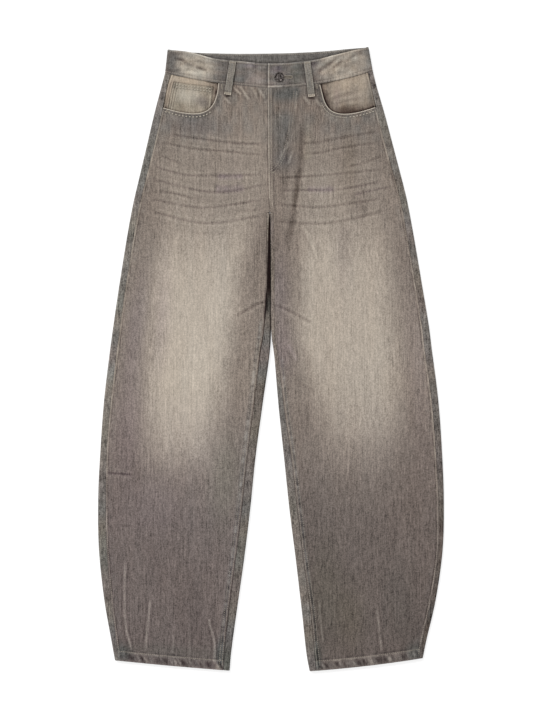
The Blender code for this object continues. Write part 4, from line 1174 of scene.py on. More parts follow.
def cut_size(x, down, z, keep=None):
    """Width, length and area, in metres, that a sheet of points was cut to."""
    points = place(x, down, z).reshape(x.shape + (3,))
    across = points[:, 1:] - points[:, :-1]
    along = points[1:] - points[:-1]
    cells = np.linalg.norm(np.cross(across[:-1], along[:, :-1]), axis=-1)
    if keep is not None:
        cells = cells * keep
    width = float(np.linalg.norm(across, axis=-1).sum(axis=1).max())
    length = float(np.linalg.norm(along, axis=-1).sum(axis=0).max())
    return width, length, float(cells.sum())


def dress(item, node):
    """A piece that stands for a CAD node, if any, and rides with the garment."""
    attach(item, "root")
    if node:
        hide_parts(node)


def cloth_piece(kind, node, x, down, z, wash, material, keep=None):
    """A piece of cloth whose middle runs through a grid of points."""
    cloth = CLOTHS[kind]
    points, faces = place(x, down, z), grid_faces(*x.shape, keep)
    used = np.unique(faces)
    renumber = np.full(len(points), -1)
    renumber[used] = np.arange(len(used))
    mesh = bpy.data.meshes.new("denim_" + node)
    mesh.from_pydata(points[used].tolist(), [], renumber[faces].tolist())
    colours = mesh.attributes.new("wash", "FLOAT_COLOR", "POINT")
    colours.data.foreach_set("color", wash.colour().reshape(-1, 4)[used].ravel())
    grains = mesh.attributes.new("grain", "FLOAT", "POINT")
    calm = np.interp(wash.light, *zip(*GRAIN_BY_LIGHT))
    grains.data.foreach_set("value", (cloth.grain * calm).reshape(-1)[used])
    item = link("denim_" + node, mesh, material)
    thicken(item, cloth.wall)
    dress(item, node)
    width, length, area = cut_size(x, down, z, keep)


def cut_mouth(side, x, down):
    """Moves the points nearest a pocket mouth onto its edge, and marks the faces outside it."""
    line = MOUTH_LINES[side]
    near = nearest_on_line(line, x, down)
    beside = (np.abs(x) > abs(line[-1, 0])) & (down < line[:, 1].max())
    signed = np.where(beside, near.gap * near.side * INSIDE_SIGN[side], -near.gap)
    snap = np.zeros(x.shape, dtype=bool)
    for first, second in ((np.s_[:-1, :], np.s_[1:, :]), (np.s_[:, :-1], np.s_[:, 1:])):
        crossing = signed[first] * signed[second] < 0
        nearer = np.abs(signed[first]) <= np.abs(signed[second])
        snap[first] |= crossing & nearer
        snap[second] |= crossing & ~nearer
    keep = faces_clear_of((signed > 0) & ~snap)
    return np.where(snap, near.x, x), np.where(snap, near.down, down), keep


def front_grid(leg, numbers):
    """x and down over a front: fine columns by its two edges, even ones between them."""
    side_edge, inner_edge = leg.front_edges(numbers)
    width = np.abs(inner_edge - side_edge)
    edge = np.arange(EDGE_COLUMNS) * EDGE_PITCH
    middle = int((width.mean() - 2 * edge[-1]) / MIDDLE_PITCH)
    share = np.linspace(0, 1, middle + 1)[1:-1]
    rows = []
    for start, span in zip(side_edge, width):
        inner = edge[-1] + share * (span - 2 * edge[-1])
        offsets = np.concatenate((edge, inner, span - edge[::-1]))
        rows.append(start + leg.inward * offsets)
    x = np.array(rows)
    return x, leg.down_front(leg.courses(numbers), x)


def make_front(leg, material):
    """A front panel with its creases, and its pocket mouth cut out."""
    x, down = front_grid(leg, leg.numbers_between(WAIST_SEAM, HEM))
    down[0] += SEAM_GAP / 2
    x, down, keep = cut_mouth(leg.side, x, down)
    wash = wash_front(leg, x, down)
    z = plain_top(down) + wash.height - CLOTH / 2
    cloth_piece("front", "front_" + leg.side, x, down, z, wash, material, keep)


def back_grid(leg, numbers, with_inner):
    """x, down, height and wash over a back, from the side seam round to the inseam."""
    number = numbers[:, None]
    course = leg.courses(numbers)
    low = CLOTH / 2 + WAIST_LIFT * (1 - ramp(number, 0.4, YOKE_SEAM))
    high = plain_top(course.down) - CLOTH / 2
    radius = (high - low) / 2
    turn = radius + CLOTH / 2
    angle = np.linspace(0, math.pi, FOLD_STEPS + 1)[None, :]
    lip = np.linspace(0, 1, SIDE_LIP_COLUMNS + 1)[None, :-1]
    share = np.concatenate([np.linspace(*span)[1:] for span in BACK_SPANS])[None, :]
    inner_turn = np.where(number >= CROTCH, turn, CENTRE_GAP / 2)
    under = mix(course.outline + leg.inward * turn, course.inner - leg.inward * inner_turn, share)
    raised = ramp(np.interp(number, POCKET_LIFT_ROWS, (0, 1, 1, 0)), 0, 1)
    raised = raised * ramp(np.interp(share, POCKET_LIFT_COLUMNS, (0, 1, 1, 0)), 0, 1)
    parts = [
        (course.outline + leg.inward * mix(course.strip, turn, lip), high,
         mix(LIP_FOLD, SIDE_FOLD, lip), True),
        (course.outline + leg.inward * (turn - radius * np.sin(angle)),
         low + radius * (1 + np.cos(angle)), mix(SIDE_FOLD, 1, np.sin(angle)), angle < math.pi / 2),
        (under, low + POCKET_LIFT * raised, UNDER_FOLD, False),
    ]
    outer_columns = sum(part[0].shape[1] for part in parts)
    if with_inner:
        angle = angle[:, 1:]
        lip = np.linspace(0, 1, INNER_LIP_COLUMNS + 1)[None, 1:]
        parts += [
            (course.inner - leg.inward * (turn - radius * np.sin(angle)),
             low + radius * (1 - np.cos(angle)), mix(SIDE_FOLD, 1, np.sin(angle)),
             angle >= math.pi / 2),
            (course.inner - leg.inward * mix(turn, course.inseam, lip), high,
             mix(SIDE_FOLD, LIP_FOLD, lip), True),
        ]
    parts = [np.broadcast_arrays(*part) for part in parts]
    x, z, fold, top = (np.concatenate(columns, axis=1) for columns in zip(*parts))
    down = np.where(top, leg.down_front(course, x), leg.down_back(course, number, x))
    outer = np.arange(x.shape[1]) < outer_columns
    from_inner = np.where(outer, FAR, leg.inward * (course.inner - x))
    wash = wash_back(leg, x, down, fold, from_inner)
    return x, down, z + np.where(top, wash.height, 0), wash


def make_back(leg, material):
    """A back panel, which wraps over the folds to the side seam and the inseam."""
    numbers = leg.numbers_between(YOKE_SEAM, HEM)
    x, down, z, wash = back_grid(leg, numbers, True)
    down[0] += SEAM_GAP / 2
    keep = np.ones((x.shape[0] - 1, x.shape[1] - 1), dtype=bool)
    first_inner = x.shape[1] - INNER_LIP_COLUMNS - FOLD_STEPS - 1
    keep[:np.argmax(numbers >= CROTCH), first_inner:] = False
    cloth_piece("back", "back_" + leg.side, x, down, z, wash, material,
                keep)


def make_yoke(leg, material):
    """The back yoke, whose end shows on the side strip."""
    numbers = leg.numbers_between(WAIST_SEAM, YOKE_SEAM, YOKE_PITCH)
    x, down, z, wash = back_grid(leg, numbers, False)
    down[0] += SEAM_GAP / 2
    down[-1] -= SEAM_GAP / 2
    cloth_piece("yoke", "yoke_" + leg.side, x, down, z, wash, material)


def facing_grid(leg, numbers, columns, above=0.0):
    """x, down and height over a facing: the middle of its wall, or so much above it."""
    side_edge, inner_edge = (edge[:, None] for edge in leg.front_edges(numbers))
    x = mix(side_edge, inner_edge, columns[None, :])
    down = leg.down_front(leg.courses(numbers), x)
    near = nearest_on_line(MOUTH_LINES[leg.side], x, down)
    inside = near.side * INSIDE_SIGN[leg.side] > 0
    rise = FACING_RISE * ramp(near.gap, *FACING_RISE_FROM) * inside
    return x, down, plain_top(down) - FACING_DEPTH - FACING_CLOTH / 2 + rise + above


def make_facing(leg, material):
    """The facing that shows in a pocket mouth."""
    numbers = leg.numbers_between(WAIST_SEAM, FACING_END, FACING_PITCH)
    x, down, z = facing_grid(leg, numbers, np.linspace(0, FACING_SHARE, FACING_COLUMNS))
    down[0] += SEAM_GAP / 2
    wash = wash_facing(leg, x, down)
    cloth_piece("facing", "facing_" + leg.side, x, down, z + wash.height, wash, material)


def make_coin_pocket(material, thread):
    """The small pocket on the left facing, with a turned upper hem."""
    numbers = LEFT.numbers_between(*COIN_ROWS, FACING_PITCH)
    above = FACING_CLOTH / 2 + LAYER_GAP + COIN_CLOTH / 2
    x, down, z = facing_grid(LEFT, numbers, np.linspace(*COIN_COLUMNS), above)
    to_right = np.linspace(0, 1, x.shape[1])[None, :]
    down = down - COIN_TILT * to_right * np.linspace(1, 0, x.shape[0])[:, None]
    wash = Wash(x, down, *SHADES["coin pocket"])
    wash.patches(FACING_PATCHES)
    wash.clouds("coin pocket")
    near = nearest_on_line(MOUTH_LINES["left"], x, down)
    edges = {"top": (down - down[0], x), "left": (x - x[:, :1], down),
             "right": (x[:, -1:] - x, down), "mouth": (near.gap, near.along * MOUTH_LENGTH)}
    # Stitch lines, and painted shadow along its edges and beside the mouth
    wash.marks(COIN_MARKS, edges, 760)
    z = z + wash.height
    cloth_piece("coin pocket", "coin_pocket", x, down, z, wash, material)
    seen = slice(4, -4)
    top = (z + COIN_CLOTH / 2)[2, seen]
    lines = [np.column_stack((x[0, seen], down[0, seen] + below, top)) for below in COIN_STITCHING]
    make_stitches("stitches_coin", lines, thread, COIN_STITCH)


def make_fly_shield(material):
    """The strip behind the fly, under the right front."""
    numbers = RIGHT.numbers_between(WAIST_SEAM, SHIELD_END, SHIELD_PITCH)
    inner_edge = RIGHT.front_edges(numbers)[1][:, None]
    x = inner_edge + np.linspace(SHIELD_WIDTH, 0, 16)[None, :]
    down = RIGHT.down_front(RIGHT.courses(numbers), x)
    down[0] += SEAM_GAP / 2
    z = plain_top(down) + fly_step("right", x, down) - CLOTH * 1.5 - LAYER_GAP - SHIELD_BELOW
    wash = Wash(x, down, *SHADES["fly shield"])
    cloth_piece("fly shield", "fly_shield", x, down, z, wash, material)


def edge_down(edge, x):
    """How far down the waistband's upper edge is at x."""
    return smooth_value(x, *zip(*edge))


def seam_down(leg, x, back=False):
    """How far down the waistband's lower edge is at x."""
    course = leg.course(WAIST_SEAM)
    down = leg.down_back(course, WAIST_SEAM, x) if back else leg.down_front(course, x)
    return down - SEAM_GAP / 2


def band_front_top(leg, x):
    """Top of the waistband on the front."""
    if leg.side == "left":
        return mix(BAND_TOP, UNDERLAP_TOP, ramp(x, *UNDERLAP_X))
    return mix(OVERLAP_TOP, BAND_TOP, ramp(x, *OVERLAP_X))


def band_side(leg, low, radius):
    """The waistband's columns on one side: from behind over the fold, and to the centre."""
    turn = radius + BAND_CLOTH / 2
    top_fold, seam_fold = BAND_FOLD[leg.side]
    columns = []
    for step in range(FOLD_STEPS, -1, -1):
        angle = math.pi * step / FOLD_STEPS
        inset = leg.inward * (turn - radius * math.sin(angle))
        behind = step * 2 > FOLD_STEPS
        columns.append((top_fold + inset, edge_down(BAND_FRONT_EDGE, top_fold), seam_fold + inset,
                        seam_down(leg, seam_fold + inset, behind),
                        low + radius * (1 + math.cos(angle)), behind))
    for t in np.linspace(0, 1, BAND_FRONT_COLUMNS)[1:]:
        top_x = mix(top_fold + leg.inward * turn, CENTRE_FRONT, t)
        seam_x = mix(seam_fold + leg.inward * turn, CENTRE_FRONT, t)
        columns.append((top_x, edge_down(BAND_FRONT_EDGE, top_x), seam_x, seam_down(leg, seam_x),
                        band_front_top(leg, seam_x) - BAND_CLOTH / 2, False))
    return columns


def band_columns():
    """Top edge, seam, height and side of the waistband's columns, along its whole path."""
    low = WAIST_LIFT + BAND_CLOTH / 2
    radius = (BAND_TOP - BAND_CLOTH / 2 - low) / 2
    turn = radius + BAND_CLOTH / 2
    columns = []
    for x in np.linspace(UNDERLAP_END, CENTRE_FRONT, BAND_UNDERLAP_COLUMNS)[:-1]:
        columns.append((x, edge_down(BAND_FRONT_EDGE, x) + UNDERLAP_LOWER, x, seam_down(RIGHT, x),
                        UNDERLAP_TOP - BAND_CLOTH / 2, False))
    columns += band_side(LEFT, low, radius)[::-1]
    ends = [(left + turn, right - turn) for left, right in zip(BAND_FOLD["left"], BAND_FOLD["right"])]
    for t in np.linspace(0, 1, BAND_BACK_COLUMNS)[1:-1]:
        top_x, seam_x = (mix(*end, t) for end in ends)
        leg = LEFT if seam_x < CENTRE_FRONT else RIGHT
        columns.append((top_x, edge_down(BAND_BACK_EDGE, top_x), seam_x,
                        seam_down(leg, seam_x, back=True), low, True))
    return np.array(columns + band_side(RIGHT, low, radius), dtype=float)


def make_waistband(material):
    """One band, from the end under the button round the back to the buttonhole's end."""
    columns = (column[:, None] for column in band_columns().T)
    top_x, top_down, seam_x, low_down, middle, behind = columns
    edges = [np.linspace(*span)[1:] for span in BAND_SPANS]
    across = np.concatenate([[0.0]] + edges)[None, :]
    x = mix(top_x, seam_x, across)
    down = mix(top_down, low_down, across)
    inside = np.broadcast_to(behind > 0.5, x.shape)
    wash = wash_band(x, down, down - top_down, low_down - down, inside)
    z = middle + np.where(inside, INSIDE_RELIEF, 1.0) * wash.height
    slit = (x > BUTTON_X - 1) & (x < SLIT_END) & (np.abs(down - BUTTON_DOWN) < SLIT_HALF)
    eye = np.hypot(x - BUTTON_X, down - BUTTON_DOWN) < EYE_RADIUS + EYE_ROOM
    keep = faces_clear_of((slit | eye) & (middle > UNDERLAP_TOP))
    cloth_piece("waistband", "waistband", x, down, z, wash, material,
                keep)


def loop_surface(upper, lower, heights, arch, across, along):
    """x, down and top of a loop at fractions across and along it."""
    upper, lower = (np.array(end, dtype=float) for end in (upper, lower))
    length = float(np.linalg.norm(lower - upper))
    turn = np.array((lower[1] - upper[1], upper[0] - lower[0])) / length * LOOP_WIDTH / 2
    x = mix(upper[0], lower[0], along) + turn[0] * across
    down = mix(upper[1], lower[1], along) + turn[1] * across
    rise = mix(*heights, ramp(along, *LOOP_STEP)) + arch * np.sin(math.pi * along) ** 2
    return x, down, rise + LOOP_CLOTH


def make_loop(node, ends, heights, arch, material):
    """A belt loop, with raised edges beside its two stitched channels and a worn rim."""
    across = np.linspace(-1, 1, 19)[None, :]
    along = np.linspace(0, 1, 64)[:, None]
    x, down, top = loop_surface(*ends, heights, arch, across, along)
    along, across = np.broadcast_arrays(along, across)
    out = np.abs(across)
    if arch:
        top = top + bumps(out, LOOP_RELIEF)
    wash = Wash(x, down, *SHADES["loop"])
    wash.clouds("loop")
    wash.light += bumps(out, LOOP_SHADE) + bumps(along, LOOP_CREASE)
    wash.light += LOOP_HEAD_LIGHT * (1 - ramp(along, *LOOP_HEAD))
    foot = ramp(along, *LOOP_FOOT)
    wash.light += LOOP_FOOT_LIGHT * foot
    wash.cool += LOOP_FOOT_COOL * foot
    cloth_piece("loop", node, x, down, top - LOOP_CLOTH / 2, wash, material)


def make_loops(material):
    """Two loops that arch over the front of the waistband, and three flat ones behind it."""
    for side, ends in FRONT_LOOPS.items():
        make_loop("loop_front_" + side, ends, LOOP_HEIGHTS, LOOP_ARCH, material)
    for side, ends in BACK_LOOPS.items():
        make_loop("loop_back_" + side, ends, (0.0, 0.0), 0.0, material)


def make_back_pocket(leg, material):
    """A plain back pocket, flat under the raised part of its panel."""
    corners = []
    for number, column in BACK_POCKET:
        course = leg.course(number)
        start = course.outline + leg.inward * plain_top(course.down) / 2
        x = mix(start, course.inner - leg.inward * SEAM_GAP / 2, column)
        corners.append(np.array((x, leg.down_back(course, number, x))))
    outer_top, inner_top, inner_low, tip, outer_low = corners
    across = np.linspace(0, 1, 41)[:, None]
    upper = mix(outer_top, inner_top, across)
    lower = np.where(across < 0.5, mix(outer_low, tip, across * 2), mix(tip, inner_low, across * 2 - 1))
    points = mix(upper, lower, np.linspace(0, 1, 41)[:, None, None])
    x, down = points[..., 0], points[..., 1]
    z = np.full(x.shape, BACK_POCKET_CLOTH / 2)
    wash = Wash(x, down, *SHADES["back pocket"])
    wash.clouds("back pocket")
    cloth_piece("back pocket", "back_pocket_" + leg.side, x, down, z, wash, material)


def resample(points, pitch):
    """Points at even steps along a line, with their directions."""
    points = np.asarray(points, dtype=float)
    steps = np.linalg.norm(np.diff(points, axis=0), axis=1)
    travelled = np.concatenate(([0], np.cumsum(steps)))
    count = max(1, int(travelled[-1] / pitch))
    at = (np.arange(count) + 0.5) * travelled[-1] / count

    def read(distance):
        return np.stack([np.interp(distance, travelled, column) for column in points.T], axis=1)

    direction = read(at + 0.5) - read(at - 0.5)
    return read(at), direction / np.linalg.norm(direction, axis=1)[:, None]


def stitch_shape():
    """Vertices and faces of one stitch, along x: a round thread whose ends dive into the cloth."""
    sides = 6
    points = [(-1.0, 0, -0.8)]
    for along, girth, height in ((-0.8, 0.75, -0.25), (0.0, 1.0, 0.25), (0.8, 0.75, -0.25)):
        for side in range(sides):
            angle = 2 * math.pi * side / sides
            points.append((along, girth * math.cos(angle), height + girth * math.sin(angle)))
    points.append((1.0, 0, -0.8))
    faces = []
    for side in range(sides):
        after = (side + 1) % sides
        faces.append((0, 1 + after, 1 + side))
        for low in (1, 1 + sides):
            high = low + sides
            faces.append((low + side, low + after, high + after, high + side))
        faces.append((high + side, high + after, len(points) - 1))
    return np.array(points), faces


def make_stitches(name, lines, material, stitch=SEAM_STITCH):
    """One mesh of all the stitches along some lines of (x, down, top) points."""
    shape, faces = stitch_shape()
    out, side, up = (shape * (stitch.length / 2, stitch.radius, stitch.radius)).T
    stitches = []
    for line in lines:
        places, along = resample(line, stitch.pitch)
        flat = along[:, :2] / np.linalg.norm(along[:, :2], axis=1)[:, None]
        for (x, down, top), (dx, dy) in zip(places, flat):
            stitches.append((x + dx * out - dy * side, down + dy * out + dx * side, top + up))
    x, down, z = (np.concatenate(values) for values in zip(*stitches))
    polygons = [[number * len(shape) + corner for corner in face]
                for number in range(len(stitches)) for face in faces]
    dress(smooth_item(name, place(x, down, z), polygons, material), None)


def front_line(leg, x, down):
    """A line of (x, down) places, laid on the top of a front."""
    return np.column_stack((x, down, front_top(leg, x, down)))


def seam_lines(leg):
    """Stitch lines of a front: side seam, inseam and hem."""
    numbers = np.linspace(*SEAM_COURSES)
    side_edge, inner_edge = leg.front_edges(numbers)
    x = side_edge + leg.inward * SIDE_ROW
    lines = [front_line(leg, x, leg.down_front(leg.course(numbers), x))]
    below = numbers > INSEAM_FROM[leg.side]
    course = leg.course(numbers[below])
    for offset in INSEAM_ROWS:
        x = inner_edge[below] - leg.inward * offset
        lines.append(front_line(leg, x, leg.down_front(course, x)))
    x = np.linspace(*leg.front_edges(HEM), 60)
    lines.append(front_line(leg, x, leg.down_front(leg.course(HEM), x) - HEM_ROW))
    return lines


def directions(points):
    """Unit directions of a line of points."""
    along = np.gradient(points, axis=0)
    return along / np.linalg.norm(along, axis=1)[:, None]


def offset_line(points, distance):
    """A line moved sideways by a distance."""
    along = directions(points)
    return points + distance * np.column_stack((-along[:, 1], along[:, 0]))


def on_front(leg, line, margin):
    """The part of a line of (x, down) points that is clear of the side and waist seams."""
    edges = front_edges_of(leg, line[:, 0], line[:, 1])
    return line[(edges["side"][0] > margin) & (edges["waist"][0] > margin)]


def mouth_lines(leg):
    """The large and the small stitches round a pocket mouth."""
    line = offset_line(MOUTH_LINES[leg.side], leg.inward * MOUTH_ROW)
    x, down = on_front(leg, line[line[:, 1] > MOUTH_ROW_FROM], 0.8).T
    first, last = MOUTH_DOTS[leg.side]
    return [front_line(leg, x[part], down[part]) for part in ((x > first) & (x < last), x <= first)]


def fly_lines():
    """The stitched edge of the fly, its curved rows and the seam from the fly to the crotch."""
    lines = [front_line(RIGHT, *FLY_LINE[1:].T)]
    down = np.linspace(*CENTRE_SEAM_DOWN, 70)
    edge = np.interp(down, *zip(*CENTRE_SEAM))
    for offset in (1.9, 6.4):
        lines.append(front_line(RIGHT, edge + offset, down))
    x, down = offset_line(FLY_LINE, FLY_ROW).T
    inner = (x > -3) & (down > CENTRE_SEAM_DOWN[0])
    lines.append(front_line(RIGHT, x[inner], down[inner]))
    return lines


def band_lines():
    """Stitch rows of the waistband on the front, down its lapped end and inside the back."""
    lines = []
    for leg in (LEFT, RIGHT):
        x = np.linspace(*BAND_ROW_X[leg.side], 120)
        upper = edge_down(BAND_FRONT_EDGE, np.clip(x, -180, 170)) + BAND_ROW
        for down in (upper, seam_down(leg, x) - BAND_ROW):
            lines.append(np.column_stack((x, down, band_front_top(leg, x) - 0.1)))
    down = np.linspace(*LAP_ROW_DOWN, 20)
    flat = np.ones(down.shape)
    lines.append(np.column_stack((flat * (CENTRE_FRONT + LAP_ROW), down, flat * OVERLAP_TOP)))
    x = np.linspace(*BAND_BACK_ROW_X, 120)
    down = edge_down(BAND_BACK_EDGE, x) + BAND_ROW
    lines.append(np.column_stack((x, down, np.full(x.shape, WAIST_LIFT + BAND_CLOTH))))
    return lines


def loop_lines():
    """Two stitch rows down each front loop."""
    lines = []
    along = np.linspace(0.02, 0.9, 30)
    for ends in FRONT_LOOPS.values():
        for across in (-0.58, 0.58):
            x, down, top = loop_surface(*ends, LOOP_HEIGHTS, LOOP_ARCH, across, along)
            lines.append(np.column_stack((x, down, top - 0.15)))
    return lines


def bar(middle, direction, length, top):
    """Lines of a bar tack: close rows across a short line."""
    direction = np.array(direction, dtype=float)
    direction /= np.linalg.norm(direction)
    across = np.array((-direction[1], direction[0])) * BAR_HALF
    rows = []
    for step in np.arange(-length / 2, length / 2 + 0.01, THREAD_PITCH):
        centre = middle + direction * step
        rows.append(np.array([(*end, top) for end in (centre - across, centre + across)]))
    return rows


def bar_lines():
    """Bar tacks: at the loops' ends, the pocket corners and the foot of the fly."""
    rows = []
    for ends in FRONT_LOOPS.values():
        upper, lower = (np.array(end) for end in ends)
        ahead = lower - upper
        for middle, height in ((lower - ahead * 0.045, LOOP_HEIGHTS[1]),
                               (upper + ahead * 0.05, LOOP_HEIGHTS[0])):
            rows += bar(middle, (ahead[1], -ahead[0]), LOOP_WIDTH - 1, height + LOOP_CLOTH)
    for side, x, down, direction in BAR_TACKS:
        top = float(front_top(LEGS[side], np.array([x]), np.array([down]))[0])
        rows += bar((x, down), direction, 8.0, top)
    return rows


def buttonhole_lines():
    """Close stitches round the buttonhole."""
    rows = []
    for turn in np.arange(*EYE_TURNS):
        rows.append([(BUTTON_X + reach * math.cos(turn), BUTTON_DOWN + reach * math.sin(turn))
                     for reach in (EYE_RADIUS + EYE_REACH[0], EYE_RADIUS + EYE_REACH[1])])
    for x in np.arange(BUTTON_X + EYE_RADIUS + EYE_REACH[0], SLIT_END + 2, THREAD_PITCH):
        for side in (-1, 1):
            ends = SLIT_REACH if x < SLIT_END else SLIT_END_REACH
            rows.append([(x, BUTTON_DOWN + side * reach) for reach in ends])
    return [np.array([(x, down, OVERLAP_TOP) for x, down in row]) for row in rows]


def make_edge_bead(leg, material):
    """The turned, worn edge of a pocket mouth."""
    line = on_front(leg, MOUTH_LINES[leg.side], 0.2)
    top = front_top(leg, line[:, 0], line[:, 1])
    along = directions(line)
    sides = 10
    angle = np.linspace(0, 2 * math.pi, sides, endpoint=False)
    across = BEAD_HALF * np.cos(angle)[None, :]
    x = line[:, :1] - along[:, 1:] * across
    down = line[:, 1:] + along[:, :1] * across
    z = top[:, None] - CLOTH / 2 + (CLOTH / 2 + 0.1) * np.sin(angle)[None, :]
    count = x.size
    faces = tube_faces(len(line), sides)
    faces += [list(range(sides))[::-1], list(range(count - sides, count))]
    item = smooth_item("pocket_edge_" + leg.side, place(x, down, z), faces, material)
    dress(item, None)


def make_button(material):
    """A shank button with a rolled rim and a low dome."""
    cap = OVERLAP_TOP + LAYER_GAP
    shank = UNDERLAP_TOP - OVERLAP_TOP
    profile = BUTTON_PROFILE + ((SHANK_RADIUS, shank), (0, shank))
    sides = 64
    angle = 2 * math.pi * np.arange(sides) / sides
    radius, height = (np.array(column)[:, None] for column in zip(*profile))
    points = place(BUTTON_X + radius * np.cos(angle), BUTTON_DOWN + radius * np.sin(angle), cap + height)
    item = smooth_item("button_cap", points, tube_faces(len(profile), sides), material)
    weld = item.modifiers.new("join middle", "WELD")
    weld.merge_threshold = 0.00001
    dress(item, "button")


def fill(node, inputs):
    """Sets a node's sockets, or joins what comes from other nodes to them."""
    for socket, value in inputs.items():
        if isinstance(value, bpy.types.NodeSocket):
            node.id_data.links.new(value, node.inputs[socket])
        else:
            node.inputs[socket].default_value = value


class Nodes:
    """A small helper that adds and joins shader nodes."""

    def __init__(self, name):
        self.material = bpy.data.materials.new(name)
        self.material.use_nodes = True
        self.tree = self.material.node_tree
        self.shader = self.tree.nodes["Principled BSDF"]

    def add(self, kind, inputs, output, **settings):
        """One output of a new node."""
        node = self.tree.nodes.new("ShaderNode" + kind)
        for setting, value in settings.items():
            setattr(node, setting, value)
        fill(node, inputs)
        return node.outputs[output]

    def coordinates(self):
        return self.add("TexCoord", {}, "Object")

    def math(self, operation, a, b=0.0):
        return self.add("Math", {0: a, 1: b}, 0, operation=operation)

    def centred(self, value):
        return self.math("SUBTRACT", value, 0.5)

    def noise(self, vector, scale, detail=2.0, roughness=0.5):
        inputs = {"Vector": vector, "Scale": scale, "Detail": detail, "Roughness": roughness}
        return self.add("TexNoise", inputs, "Fac")

    def stretched(self, vector, scale):
        return self.add("Mapping", {"Vector": vector, "Scale": scale}, "Vector")

    def times(self, colour, factor):
        return self.add("VectorMath", {0: colour, 1: factor}, "Vector", operation="MULTIPLY")

    def relief(self, height, distance):
        inputs = {"Strength": 0.3, "Distance": distance, "Height": height}
        fill(self.shader, {"Normal": self.add("Bump", inputs, "Normal")})


def make_denim(name):
    """Washed denim: the wash, with yarns, streaks and slubs as strong as its grain."""
    nodes = Nodes(name)
    coordinates = nodes.coordinates()
    wash = nodes.add("Attribute", {}, "Color", attribute_name="wash")
    grain = nodes.add("Attribute", {}, "Fac", attribute_name="grain")
    total = 0.0
    for scale, detail, strength in GRAIN:
        part = nodes.centred(nodes.noise(nodes.stretched(coordinates, scale), 1.0, detail, 0.6))
        total = nodes.math("ADD", total, nodes.math("MULTIPLY", part, strength))
    for scale, strength in SLUBS:
        slub = nodes.centred(nodes.noise(nodes.stretched(coordinates, scale), 1.0, 1.0, 0.4))
        slub = nodes.math("MULTIPLY", nodes.math("POWER", slub, 3.0), strength)
        total = nodes.math("ADD", total, slub)
    factor = nodes.math("ADD", nodes.math("MULTIPLY", total, grain), 1.0)
    slant = {"Vector": coordinates, "Rotation": (0, 0, math.radians(62))}
    turned = nodes.add("Mapping", slant, "Vector")
    twill = {"Vector": turned, "Scale": 190.0, "Distortion": 1.2, "Detail": 1.0}
    nodes.relief(nodes.add("TexWave", twill, "Fac"), 0.0003)
    fill(nodes.shader, {"Base Color": nodes.times(wash, factor), "Roughness": 0.92,
                        "Specular IOR Level": 0.12})
    return nodes.material


def make_thread(name, colour):
    """Sewing thread: a twisted, slightly uneven cord of one colour."""
    nodes = Nodes(name)
    coordinates = nodes.coordinates()
    uneven = nodes.centred(nodes.noise(coordinates, 420.0, 2.0, 0.6))
    factor = nodes.math("ADD", nodes.math("MULTIPLY", uneven, 0.6), 1.0)
    twist = {"Vector": coordinates, "Scale": 900.0}
    nodes.relief(nodes.add("TexWave", twist, "Fac", bands_direction="DIAGONAL"), 0.0001)
    fill(nodes.shader, {"Base Color": nodes.times(colour, factor), "Roughness": 0.75,
                        "Specular IOR Level": 0.3})
    return nodes.material


def make_metal(name):
    """Antique metal, mottled by a noise stain from near black to dull grey, rougher where lighter."""
    nodes = Nodes(name)
    stain = nodes.noise(nodes.coordinates(), 330.0, 3.0, 0.7)
    colour = nodes.add("ValToRGB", {"Fac": stain}, "Color")
    for stop, position, shade in zip(colour.node.color_ramp.elements, (0.44, 0.6),
                                     ((0.03, 0.024, 0.022, 1), (0.24, 0.21, 0.20, 1))):
        stop.position, stop.color = position, shade
    rough = nodes.math("ADD", nodes.math("MULTIPLY", stain, 0.3), 0.4)
    nodes.relief(stain, 0.0002)
    fill(nodes.shader, {"Base Color": colour, "Roughness": rough, "Metallic": 0.9})
    return nodes.material


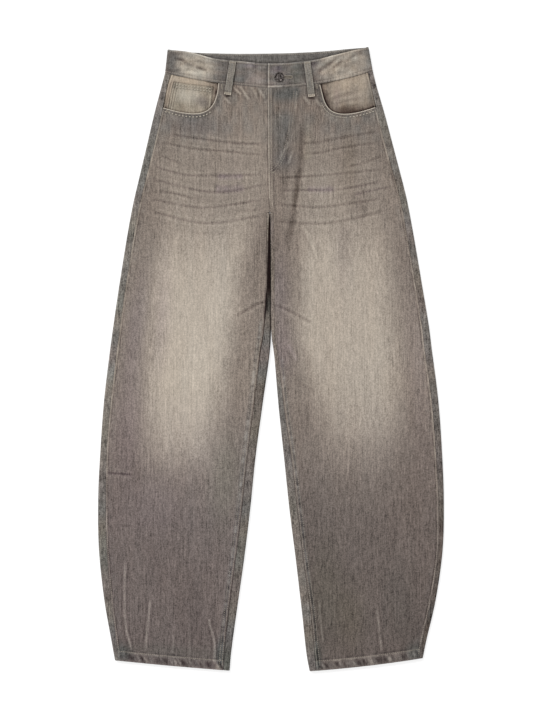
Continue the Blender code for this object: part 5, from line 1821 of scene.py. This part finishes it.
def make_stage():
    """A white floor, soft light from the upper left, and the camera straight above."""
    mesh = bpy.data.meshes.new("floor")
    signs = ((-1, -1), (1, -1), (1, 1), (-1, 1))
    corners = [(x * FLOOR_HALF, y * FLOOR_HALF, FLOOR_HEIGHT) for x, y in signs]
    mesh.from_pydata(corners, [], [(0, 1, 2, 3)])
    nodes = Nodes("floor_white")
    fill(nodes.shader, {"Base Color": (0.5, 0.5, 0.5, 1), "Roughness": 1.0,
                        "Specular IOR Level": 0.0, "Emission Color": (1, 1, 1, 1),
                        "Emission Strength": FLOOR_GLOW})
    link("floor", mesh, nodes.material)

    world = bpy.data.worlds.new("studio")
    world.use_nodes = True
    fill(world.node_tree.nodes["Background"], {"Color": (1, 1, 1, 1), "Strength": SKY_LIGHT})
    bpy.context.scene.world = world

    sun = bpy.data.lights.new("key", "SUN")
    sun.energy = SUN_LIGHT
    sun.angle = math.radians(18)
    link("key", sun).rotation_euler = (math.radians(-38), math.radians(-34), 0)

    lens = bpy.data.cameras.new("camera")
    lens.lens = 100
    lens.sensor_width = 36
    camera = link("camera", lens)
    camera.location = CAMERA_PLACE
    bpy.context.scene.camera = camera
    bpy.context.scene.view_settings.view_transform = "Standard"


def main():
    denim = make_denim("denim_lengthwise")
    thread = make_thread("thread_tan", (0.38, 0.33, 0.27))
    thread_pale = make_thread("thread_pale", (0.50, 0.45, 0.37))
    worn = make_thread("worn_edge", (0.56, 0.50, 0.42))
    metal = make_metal("antique_metal")
    make_stage()
    for leg in (LEFT, RIGHT):
        for make in (make_back_pocket, make_back, make_yoke, make_facing, make_front):
            make(leg, denim)
        make_edge_bead(leg, worn)
        make_stitches("stitches_seams_" + leg.side, seam_lines(leg), thread)
        dots, row = mouth_lines(leg)
        make_stitches("stitches_mouth_" + leg.side, [dots], thread_pale, MOUTH_DOT)
        if len(row):
            make_stitches("stitches_mouth_row_" + leg.side, [row], thread_pale,
                          MOUTH_STITCH)
    make_coin_pocket(denim, thread_pale)
    make_fly_shield(denim)
    make_waistband(denim)
    make_loops(denim)
    make_stitches("stitches_fly", fly_lines(), thread)
    make_stitches("stitches_band", band_lines(), thread)
    make_stitches("stitches_loops", loop_lines(), thread)
    make_stitches("bar_tacks", bar_lines(), thread, BAR_STITCH)
    make_stitches("buttonhole_stitches", buttonhole_lines(), thread, BUTTONHOLE_STITCH)
    make_button(metal)


main()
